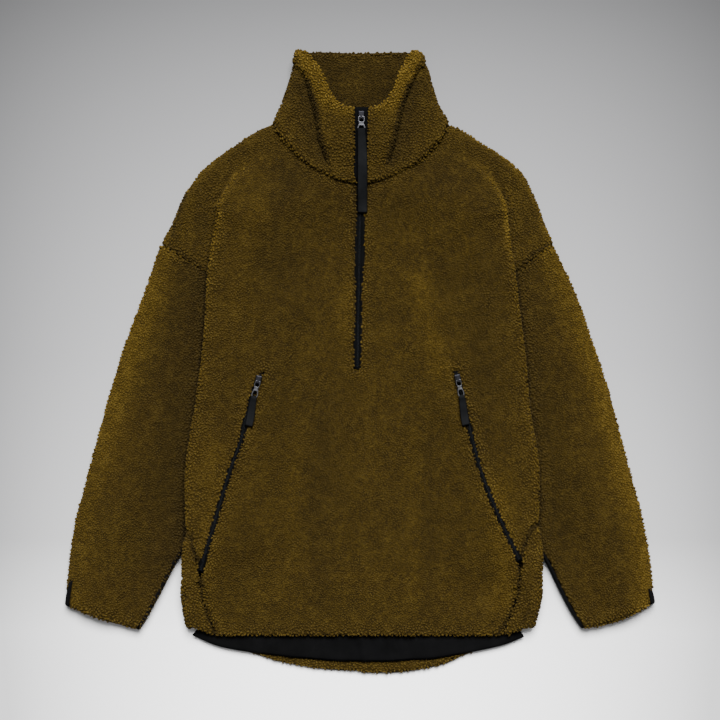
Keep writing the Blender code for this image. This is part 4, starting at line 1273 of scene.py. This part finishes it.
def sky(shells, places, normals):
    """How much of the sky each place sees, 0 to 1: what lies round it, such as a fold, hides the rest."""
    ways = []
    for i in range(SKY_RAYS):
        up = 0.10 + 0.85 * (i + 0.5) / SKY_RAYS
        turn = i * 2.39996
        level = math.sqrt(1 - up * up)
        ways.append((Vector((level * math.cos(turn), level * math.sin(turn), up)), 0.35 + up))
    whole = sum(w for _, w in ways)
    seen = np.empty(len(places))
    for i, (p, n) in enumerate(zip(places, normals)):
        start = Vector(p + n * 2.0 + (0, 0, 1.0))
        clear = sum(w for way, w in ways if shells.ray_cast(start, way, SKY_REACH)[0] is None)
        seen[i] = clear / whole
    return seen


# The folded sides of the body, from the armhole to the hem
SIDE_FOLDS = {
    "right": ((-194, 222), (-194, 179), (-202, 142), (-206, 117), (-208.5, 65.5), (-215, -13), (-223.5, -79),
              (-234, -158.5), (-236, -226), (-241, -288), (-238, -340)),
    "left": ((199, 225), (203, 168), (210, 122), (219, 40), (225, -13), (230, -79), (242, -158.5),
             (240, -218), (246, -302), (241, -340)),
}
# Painted shade along seams, creases and folds, where the pile is darker: line, half width, depth
PANEL_CREASE_SHADE = (
    (((-215, -285), (-212.5, -325), (-202, -354), (-195, -372)), 2.6, 0.64),
    (((-241, -221), (-226, -243.5), (-223, -261), (-217, -270)), 2.8, 0.66),
    (((214, -268), (215, -291), (212.5, -318), (203, -345), (187, -370)), 2.6, 0.64),
    (((244, -218), (230, -230), (221, -250), (215, -268)), 2.8, 0.66),
)
CORNER_CREASE_SHADE = (((230, -333), (217, -358)), 2.0, 0.4)
CREASE_SHADE = {
    "collar": ((COLLAR_CREASES["right"][1:], 3.0, 0.62), (COLLAR_CREASES["left"][1:], 3.0, 0.58)),
    "sleeve": ((SIDE_FOLDS["right"], 3.5, 0.6), (SIDE_FOLDS["left"], 3.5, 0.6)),
    "front": (
        *PANEL_CREASE_SHADE,
        (((-267, 158), (-235, 140), (-207, 122)), 2.0, 0.35),
        (((259, 158), (236, 145), (210, 120)), 2.2, 0.55),
        (((-236, 224), (-254, 168)), 2.4, 0.55), (((-6, 236), (-6, 8)), 3.6, 0.45), CORNER_CREASE_SHADE,
    ),
    "panel": (*PANEL_CREASE_SHADE, CORNER_CREASE_SHADE),
}
# Painted light and shade on the front, lighter or darker along each line: line, gain, half width
FRONT_PAINTED_SHADING = (
    (((-132, 215), (-155, 150), (-164, 80)), 0.12, 18), (((-10, 94), (-18, 40)), 0.28, 14),
    (((79, 107), (92, 53), (109, -14)), 0.40, 15), (((-91, -149), (-86, -325)), 0.13, 10),
    (((-53, -55), (-56, -325)), -0.17, 20), (((68, -95), (74, -325)), 0.14, 9),
    (((95, -109), (95, -325)), -0.12, 11), (((163, 256), (173, 134), (165, 26), (163, -122)), -0.12, 24),
    (((188, -170), (194, -325)), 0.45, 18), (((-200, -120), (-208, -335)), 0.24, 20),
    (((-94, 242), (0, 215), (109, 242)), -0.13, 40), (((-121, 215), (-118, -82)), -0.07, 20),
    (((-178, -55), (-167, -136)), -0.10, 12),
    (((-185, -371), (-100, -374), (0, -376), (100, -374), (185, -371)), 0.22, 4),
    (((-150, -362), (0, -374), (150, -362)), -0.12, 10), (((-95, 250), (-95, 150)), -0.20, 30),
    (((112, 250), (112, 150)), -0.20, 28),
)
OUTER_EDGES = [[sleeve_frame(row)[0] * (sign, 1) for row in SLEEVE_ROWS[side]]
               for side, sign in SIDES.items()]


def to_nearest(lines, x, y):
    return np.min([np.abs(signed_distance(line, x, y)) for line in lines], axis=0)


def tone_and_painted_light(name, places, normals):
    """The pile's tone, as a factor: slowly uneven, with painted shade in seams, creases, beside folded sides
    and inside the collar, and painted highlights on edges, folds and the collar's rim.
    """
    x, y, z = places.T
    total = 1 + 0.04 * swell(x, y * 0.4, 95, 1.1) + 0.04 * swell(x, y, 230, 0.2)
    for key, lines in CREASE_SHADE.items():
        # painted shade along seams, creases and folds
        if key in name:
            for line, width, depth in lines:
                total *= 1 - depth * bump(signed_distance(line, x, y), width)
    fold = to_nearest(SIDE_FOLDS.values(), x, y)
    if "sleeve" in name:
        # painted shade on the sleeve beside the body's folded side, and a painted highlight along its outer
        # edge
        shaded = np.where(x > 0, 0.80, 0.64)
        lit = np.where(x > 0, 0.80, 0.34 + 0.40 * eased((y + 190) / 120))
        outer = to_nearest(OUTER_EDGES, x, y)
        total *= (shaded + (1 - shaded) * eased(fold / 95)) * (1 + lit * eased(1 - outer / 44))
    elif "front" in name or "panel" in name:
        # painted light and shade along the front's folds and edges
        for line, gain, width in FRONT_PAINTED_SHADING:
            total *= 1 + gain * bump(signed_distance(line, x, y), width)
        # painted highlight just inside the body's folded sides
        total *= 1 + 0.14 * bump(fold - 4, 8)
        # painted highlight where the upper front faces sideways
        total *= 1 + np.where(x > 0, 0.56, 0.32) * eased(np.abs(normals[:, 0]) * 1.8) * eased((y - 120) / 40)
    if "collar" in name:
        # painted highlight on the rolled rim of the collar's opening, painted shade beside its creases and on
        # its low inside
        rim = np.abs(signed_distance(OPENING, x, y))
        inside = np.minimum(*inside_creases(x, y))
        rolled = eased((34 - rim) / 16) * eased((inside + 1) / 2) * eased((y - 318) / 30)
        beside = eased(-inside / 1.5) * eased((44 + inside) / 40)
        beside = beside * eased((y - 240) / 36) * eased((392 - y) / 26)
        total *= np.where(z > STANDS + 2, (1.06 + 0.92 * rolled) * (1 - 0.42 * beside), 0.80)
    return total


def coarseness(name, places, normals, edge):
    """From 0 on open cloth to 1 at edges, on folded sides and where it is steep, with larger curls."""
    x, y, z = places.T
    edge = np.minimum(edge, to_nearest(SIDE_FOLDS.values(), x, y) * 0.8)
    coarse = np.maximum(bump(edge, 12.0), np.clip((0.94 - normals[:, 2]) / 0.4, 0, 1))
    return np.maximum(coarse, 0.55 * (z > STANDS + 2)) if "collar" in name else coarse


def roots(made, shells, zips, rng):
    """Evenly scattered places on the cloth's side that shows, with the normal and the coarseness at each."""
    points, corners = triangles(made)
    rim = np.empty(len(points), np.float32)
    made.data.attributes["rim"].data.foreach_get("value", rim)
    a, b, c = (points[corners[:, i]] for i in range(3))
    cross = np.cross(b - a, c - a)
    area = np.linalg.norm(cross, axis=1) / 2
    normal = cross / np.maximum(2 * area, 1e-9)[:, None]
    facing = normal[:, 2] > -0.35
    count = int(area[facing].sum() / CURL_SPACING ** 2 * 3.0)
    picked = rng.choice(np.nonzero(facing)[0], count, p=area[facing] / area[facing].sum())
    u, v = rng.random((2, count))
    over = u + v > 1
    u[over], v[over] = 1 - u[over], 1 - v[over]
    places = a[picked] + (b - a)[picked] * u[:, None] + (c - a)[picked] * v[:, None]
    normals = normal[picked]
    coarse = coarseness(made.name, places, normals, rim[corners[picked, 0]])
    tree = kdtree.KDTree(count)
    for i, p in enumerate(places):
        tree.insert(p, i)
    tree.balance()
    gone = np.zeros(count, bool)
    taken = []
    for i in range(count):
        if gone[i]:
            continue
        for _, j, _ in tree.find_range(places[i], CURL_SPACING + COARSER * coarse[i]):
            gone[j] = True
        way = Vector((0, 0, 1)) if normals[i, 2] > 0.1 else Vector(normals[i] + (0, 0, 0.6)).normalized()
        covered = shells.ray_cast(Vector(places[i] + normals[i] * 1.5), way, 90.0)[0] is not None
        if not covered and zips.find_nearest(Vector(places[i] + normals[i]), 2.0)[0] is None:
            taken.append(i)
    return places[taken], normals[taken], coarse[taken]


def grains(places, lead, across, normals, long, radius, bend, rise, uneven):
    """A closed, bent grain at each place: two points and two rings of three."""
    count = len(places)
    ends = [places + way * lead * long / 2 + across * bend - normals * 0.45 * radius for way in (-1, 1)]
    verts = [ends[0]]
    for step in (-0.2, 0.2):
        centre = places + lead * long * step - across * bend * 0.4 + normals * (rise + uneven * step)
        for turn in (0.0, 2.2, -2.2):
            verts.append(centre + normals * radius * math.cos(turn) + across * radius * 1.1 * math.sin(turn))
    verts.append(ends[1])
    verts = np.stack(verts, axis=1).reshape(-1, 3)
    grain = [(0, 2, 1), (0, 3, 2), (0, 1, 3), (4, 5, 7), (5, 6, 7), (6, 4, 7)]
    grain += [(1, 2, 5, 4), (2, 3, 6, 5), (3, 1, 4, 6)]
    offset = np.arange(count)[:, None] * CURL_POINTS
    faces = []
    for cell in grain:
        faces += (np.array(cell)[None, :] + offset).tolist()
    tip = np.tile(np.array([0.0, 1.0, 0.35, 0.35, 1.0, 0.35, 0.35, 0.0]), count)
    return verts, faces, tip


def curl_mesh(places, normals, coarse, rng):
    count = len(places)
    flow = np.array([noise.noise(Vector(p) * 0.045) for p in places])
    angle = flow * 3.0 + rng.uniform(-1.57, 1.57, count) * (1 - 0.4 * coarse) + 1.57
    lead = np.stack([np.cos(angle), np.sin(angle), np.zeros(count)], axis=1)
    across = np.cross(normals, lead)
    across /= np.maximum(np.linalg.norm(across, axis=1, keepdims=True), 1e-6)
    lead = np.cross(across, normals)

    def spread(low, high, coarser):
        return (rng.uniform(low, high, count) + coarser * coarse)[:, None]

    bend = spread(-0.8, 0.8, 0.0) * (1 + 0.8 * coarse[:, None])
    return grains(places, lead, across, normals, spread(3.4, 4.6, 2.2), spread(1.1, 1.35, 0.35), bend,
                  spread(0.1, 0.35, 0.5), spread(-1.0, 1.0, 0.0))


PILE = {}               # the curls of each cloth


def ground_light(made):
    """The cloth under the curls gets the same painted light and shade as they do."""
    mesh = made.data
    points, normals = np.empty((2, len(mesh.vertices) * 3), np.float32)
    mesh.vertices.foreach_get("co", points)
    mesh.vertices.foreach_get("normal", normals)
    points, normals = (values.reshape(-1, 3).astype(float) for values in (points, normals))
    light = tone_and_painted_light(made.name, points / MM, normals)
    mesh.attributes.new("light", "FLOAT", "POINT").data.foreach_set("value", light.astype(np.float32))


def add_curls(names):
    """Curls on each of these pieces, in objects of no more than MOST_CURLS."""
    shells = tree_of([*SHELLS.values(), *CORNERS])
    zips = tree_of([node for name, node in frame["nodes"].items()
                    if "_zip_" in name and "_chain" not in name])
    for index, name in enumerate(names):
        rng = np.random.default_rng(CURL_SEED + index)
        places, normals, coarse = roots(SHELLS[name], shells, zips, rng)
        order = np.argsort(places[:, 0])
        places, normals, coarse = places[order], normals[order], coarse[order]
        # painted shade where folds hide the sky, and a painted highlight on the larger curls at edges and
        # folds
        light = sky(shells, places, normals) ** SKY_DEPTH * (1 + EDGE_LIGHT * coarse)
        light = light * tone_and_painted_light(name, places, normals)
        parts = math.ceil(len(places) / MOST_CURLS)
        for part in range(parts):
            chosen = slice(part * len(places) // parts, (part + 1) * len(places) // parts)
            verts, faces, tip = curl_mesh(places[chosen], normals[chosen], coarse[chosen], rng)
            own = rng.random(len(verts) // CURL_POINTS) - 0.5
            tones = {"tone": 0.5 + own * (0.55 + 0.45 * coarse[chosen]), "light": light[chosen]}
            layers = {"tip": tip, **{key: np.repeat(each, CURL_POINTS) for key, each in tones.items()}}
            label = name.replace("_sherpa", "_curls") + (f"_{part + 1}" if parts > 1 else "")
            made = make_mesh(label, verts, faces, CURLS, layers)
            PILE.setdefault(name, []).append(made)


for name, made in SHELLS.items():
    if "sherpa" in name:
        ground_light(made)
add_curls([name for name in SHELLS if "sherpa" in name])

# ---------------------------------------------------------------- zips

# Half the pull's width at distances down from its crossbar, and the same for its two holes
PULL_SIDE = ((-0.1, 2.6), (0.4, 3.6), (1.4, 4.1), (6.2, 4.0), (7.8, 3.4), (9.6, 3.2), (11.8, 4.0),
             (14.4, 4.9), (16.5, 5.1), (18.6, 4.8), (19.7, 3.9), (20.1, 2.4))
PULL_SLOT = ((0.7, 2.6), (1.2, 3.0), (6.2, 3.0), (6.9, 2.4))
PULL_EYE = ((12.0, 1.6), (12.8, 3.0), (14.4, 3.7), (17.8, 3.7), (18.7, 3.0))
LEAST_SLOT = 0.9        # a narrower pull keeps this share of the slot's width, to turn clear of its slider
POCKET_PULL = (0.80, 1.12)      # width and length of a pocket's pull, as shares of the front zip's
COIL_PITCH = 1.6
TAPE_SUNK = 0.8         # below the coil
TAPE_WIDTHS = ((100, 12.0), (240, 16.0), (400, 19.0))   # of the front zip: up to this height, this wide


def zip_frame(name):
    """The pull's crossbar, and the zip's directions across and down it."""
    joint = next(j for j in frame["joints"] if j["name"] == name + "_puller_hinge")
    across = -np.array(joint["axis"], float)
    return np.array(joint["pos_m"]) / MM, across, np.array((across[1], -across[0], 0.0))


def pull_piece(name, wide=1.0, long=1.0):
    pivot, across, down = zip_frame(name)
    curve = bpy.data.curves.new(name, "CURVE")
    curve.dimensions = "2D"
    curve.fill_mode = "BOTH"
    curve.extrude = 0.35 * MM
    curve.bevel_depth = 0.4 * MM
    curve.bevel_resolution = 2
    curve.resolution_u = 6
    for half, size in ((PULL_SIDE, wide), (PULL_SLOT, max(wide, LEAST_SLOT)), (PULL_EYE, wide)):
        outline = [(-w * size, d) for d, w in half] + [(w * size, d) for d, w in half[::-1]]
        spline = curve.splines.new("BEZIER")
        spline.bezier_points.add(len(outline) - 1)
        for point, (w, d) in zip(spline.bezier_points, outline):
            point.co = (w * MM, d * long * MM, 0)
            point.handle_left_type = point.handle_right_type = "AUTO"
        spline.use_cyclic_u = True
    helper = bpy.data.objects.new(name, curve)
    mesh = bpy.data.meshes.new_from_object(helper)
    bpy.data.objects.remove(helper)
    points = np.array([v.co for v in mesh.vertices]) / MM
    placed = pivot + points[:, :1] * across + points[:, 1:2] * down + points[:, 2:] * (0, 0, -1)
    faces = [tuple(p.vertices) for p in mesh.polygons]
    made = make_mesh(name + "_pull_tab", placed, faces, METAL, body=name + "_puller")
    welded(made)
    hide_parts(name + "_pull")


def welded(made):
    bm = bmesh.new()
    bm.from_mesh(made.data)
    bmesh.ops.remove_doubles(bm, verts=bm.verts, dist=0.02 * MM)
    bm.to_mesh(made.data)
    bm.free()


def strap_piece(name, line):
    """Webbing along (distance down the zip from the crossbar, offset across, height, width)."""
    pivot, across, down = zip_frame(name)
    rows = []
    for distance, offset, height, width in line[::-1]:
        centre = pivot + down * distance + across * offset
        centre[2] = height
        rows.append([centre + across * width * t for t in (-0.5, -0.17, 0.17, 0.5)])
    made = shell(name + "_webbing", rows, all_cells, 0.75, (1.0, 1.8), WEBBING, pile=0, both=True, edge=0.8,
                 grow=0.0, body=name + "_puller")
    del SHELLS[made.name]
    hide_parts(name + "_strap")
    max(width for *_, width in line)


def front_zip_line():
    rows = [ZIP_BOTTOM + 2.0]
    rows += [row["centre_y"] for row in FRONT_ROWS["right"] if row["centre_y"] > ZIP_BOTTOM + 5]
    rows += [row["centre_y"] for row in SHOULDER_ROWS["right"]]
    line = []
    for y in rows:
        bulge = at(SHOULDER_ROWS["right"], y, "centre_y", "bulge")
        line.append((zip_x(y), y, FRONT_MID + bulge + FLEECE / 2 - CHAIN_SUNK))
    neck, top = FRONT_COLLAR
    for y in (246.0, 275.0, 305.0, ZIP_TOP):
        height = collar_height((y - neck) / (top - neck), 0)
        line.append((zip_x(y), y, height + COLLAR_FLEECE / 2 - CHAIN_SUNK))
    return line


def pocket_zip_line(side):
    line = []
    for row in FRONT_ROWS[side][SEAM_ROW:POCKET_TOP_ROW + 1]:
        x, y = row["pocket_x"], row["pocket_y"]
        line.append((SIDES[side] * x, y, front_height(side, x, y) + FLEECE / 2 - CHAIN_SUNK))
    return line


def coil_piece(name, line):
    """The closed coil: two rows of small bent wires that meet in the middle of the tape."""
    line = np.array(line, float)
    length = np.concatenate([[0], np.cumsum(np.linalg.norm(np.diff(line, axis=0), axis=1))])
    at_length = np.arange(3.0, length[-1] - 3.0, COIL_PITCH / 2)
    places = np.stack([np.interp(at_length, length, line[:, i]) for i in range(3)], axis=1)
    along_zip = np.gradient(places, axis=0)
    along_zip /= np.linalg.norm(along_zip, axis=1, keepdims=True)
    across = np.cross(along_zip, (0, 0, 1.0))
    across /= np.linalg.norm(across, axis=1, keepdims=True)
    normals = np.cross(across, along_zip)
    side = np.where(np.arange(len(places)) % 2, 1, -1)[:, None]
    places = places + across * side * 0.65 + normals * 0.15
    one, none = np.ones((len(places), 1)), np.zeros((len(places), 1))
    verts, faces, _ = grains(places, across + along_zip * side * 0.25, along_zip, normals, 2.6 * one,
                             0.55 * one, none, none, none)
    make_mesh(name + "_coil", verts, faces, COIL)


def tape_piece(name, line, widths):
    """Woven tape under the pile's edges, on both sides of the coil."""
    rows = []
    for (x, y, z), width, after, before in zip(line, widths, line[1:] + line[-1:], line[:1] + line[:-1]):
        along_x, along_y = plan(*after[:2]) - plan(*before[:2])
        along_x, along_y = plan(along_x, along_y) / np.linalg.norm((along_x, along_y))
        rows.append([(x + along_y * width * t, y - along_x * width * t, z - TAPE_SUNK)
                     for t in (-0.5, -0.2, 0.2, 0.5)])
    made = shell(name + "_tape", rows, all_cells, 0.35, (1.6, 2.4), TAPE, pile=0, both=True, edge=0.5,
                 grow=0.0)
    del SHELLS[made.name]
    long = sum(math.dist(a, b) for a, b in zip(line, line[1:]))


pull_piece("front_zip")
line = front_zip_line()
x, y, z = line[-1]
line.append((x, y + 3.6, z))
tape_piece("front_zip", line, [next(wide for top, wide in TAPE_WIDTHS if y < top) for _, y, _ in line])
strap_piece("front_zip", [
    (15.2, 0.0, 38.4, 9.6), (16.6, 0.0, 39.8, 10.4), (22.5, 0.2, 39.9, 10.8), (28.0, 0.5, 38.9, 11.4),
    (42.5, 1.2, 37.6, 12.6), (65.5, 1.4, 36.6, 13.0), (84.5, 1.5, 31.2, 13.2), (101.5, 1.5, 27.4, 13.2),
    (117.5, 1.5, 23.8, 13.0), (129.0, 1.5, 22.5, 12.6),
])
coil_piece("front_zip", front_zip_line())
for side in SIDES:
    name = "pocket_zip_" + side
    pivot, across, down = zip_frame(name)
    pull_piece(name, *POCKET_PULL)
    line = [(far, 0.0, pivot[2] + rise, width)
            for far, rise, width in ((19.8, -0.4, 5.4), (21.6, 1.4, 6.6), (24.0, 1.2, 8.0))]
    for distance, width in ((29.0, 9.0), (38.0, 10.2), (50.0, 10.8), (62.0, 10.4)):
        x, y, _ = pivot + down * distance
        height = max(front_height(side, abs(x), y) + FLEECE / 2 + 2.4, pivot[2] - (distance - 20) * 0.12)
        line.append((distance, -SIDES[side] * 2.4 * eased((distance - 22) / 40), height, width))
    strap_piece(name, line)
    line = pocket_zip_line(side)
    tape_piece(name, line, [9.0] * (len(line) - 1) + [8.0])
    coil_piece(name, line)

for name, node in frame["nodes"].items():
    look = TAPE if name.endswith("_chain") else DARK_METAL if name.endswith("_slider") else None
    for slot in node.material_slots if look else ():
        slot.material = look

# The cut of each cloth: width and length, area, what it lies on
CUTS = {
    "front_sherpa": (0.895, 0.718, 0.372, ["back"]),
    "side_panel_sherpa_right": (0.080, 0.150, 0.0098, ["back"]),
    "side_panel_sherpa_left": (0.085, 0.158, 0.0110, ["back"]),
    "back_sherpa": (0.508, 0.791, 0.296, ["floor"]),
    "hem_facing_cloth": (0.464, 0.070, 0.0265, ["back"]),
    "sleeve_sherpa_right": (0.192, 0.504, 0.088, ["floor"]),
    "sleeve_sherpa_left": (0.185, 0.504, 0.085, ["floor"]),
    "sleeve_under_cloth_right": (0.169, 0.500, 0.0715, ["floor"]),
    "sleeve_under_cloth_left": (0.166, 0.499, 0.070, ["floor"]),
    "collar_sherpa": (0.536, 0.122, 0.048, ["back"]),
}
for name, (width, long, area, under) in CUTS.items():
    corners = [made for made in CORNERS if "under" in name and made.name.split("_")[-1] in name]

# ---------------------------------------------------------------- floor, light and camera

# Painted light on the floor: its tones from the collar's end to the hem's, and a painted falloff that darkens
# it towards both sides
FLOOR_TONES = ((0.0, (0.102, 0.102, 0.104)), (0.5, (0.333, 0.333, 0.338)), (0.75, (0.50, 0.50, 0.505)),
               (0.88, (0.89, 0.89, 0.895)), (1.0, (0.93, 0.93, 0.935)))
FLOOR_TOP = 0.486           # where its tones start, in metres
FLOOR_REACH = 3.0
FLOOR_DROP = 0.0005
CAMERA_HEIGHT = 4.0
SENSOR = 36.0
VIEW_AWAY = 3.98            # from the camera to the level whose width it sees
VIEW_WIDTH = 0.972


def staged(name, data):
    made = bpy.data.objects.new(name, data)
    bpy.context.scene.collection.objects.link(made)
    return made


corners = [(x * FLOOR_REACH, y * FLOOR_REACH, -FLOOR_DROP) for x, y in ((-1, -1), (1, -1), (1, 1), (-1, 1))]
floor_mesh = bpy.data.meshes.new("floor")
floor_mesh.from_pydata(corners, [], [(0, 1, 2, 3)])
floor = staged("floor", floor_mesh)
# the floor's painted light: its tones down its length, times a painted falloff towards the sides
look = Look("floor", (0.8, 0.8, 0.82), 0.9, specular=0.1)
x, y, _ = look.add("ShaderNodeSeparateXYZ", {0: look.where}).outputs
down = look.math("MULTIPLY", look.math("SUBTRACT", FLOOR_TOP, y), 1.03, clamp=True)
falls = look.math("ADD", look.math("MULTIPLY", down, 0.8), 1.85)
side_loss = look.math("MINIMUM", look.math("MULTIPLY", look.math("MULTIPLY", x, x), falls), 0.6)
middle = look.math("SUBTRACT", 1.0, side_loss)
floor_mesh.materials.append(look.finish(look.scaled(look.ramp(down, *FLOOR_TONES), middle)))


def soft_light(name, where, spread, power):
    """A large light far away in this direction."""
    data = bpy.data.lights.new(name, "SUN")
    data.angle = math.radians(spread)
    data.energy = power
    staged(name, data).rotation_euler = Vector(where).to_track_quat("Z", "Y").to_euler()


soft_light("key_from_collar", (0.05, 0.56, 0.86), 35, 13.7)
soft_light("fill_from_hem", (-0.3, -0.6, 0.9), 90, 0.35)
world = bpy.data.worlds.new("studio")
bpy.context.scene.world = world
world.use_nodes = True
background = world.node_tree.nodes["Background"]
background.inputs["Color"].default_value = (0.97, 0.98, 1.0, 1.0)
background.inputs["Strength"].default_value = 0.25

camera = staged("camera", bpy.data.cameras.new("camera"))
camera.location = (0.0, 0.0, CAMERA_HEIGHT)
camera.rotation_euler = (0.0, 0.0, 0.0)
camera.data.sensor_width = SENSOR
camera.data.lens = SENSOR * VIEW_AWAY / VIEW_WIDTH
camera.data.clip_end = 20.0
bpy.context.scene.camera = camera

bpy.context.view_layer.update()
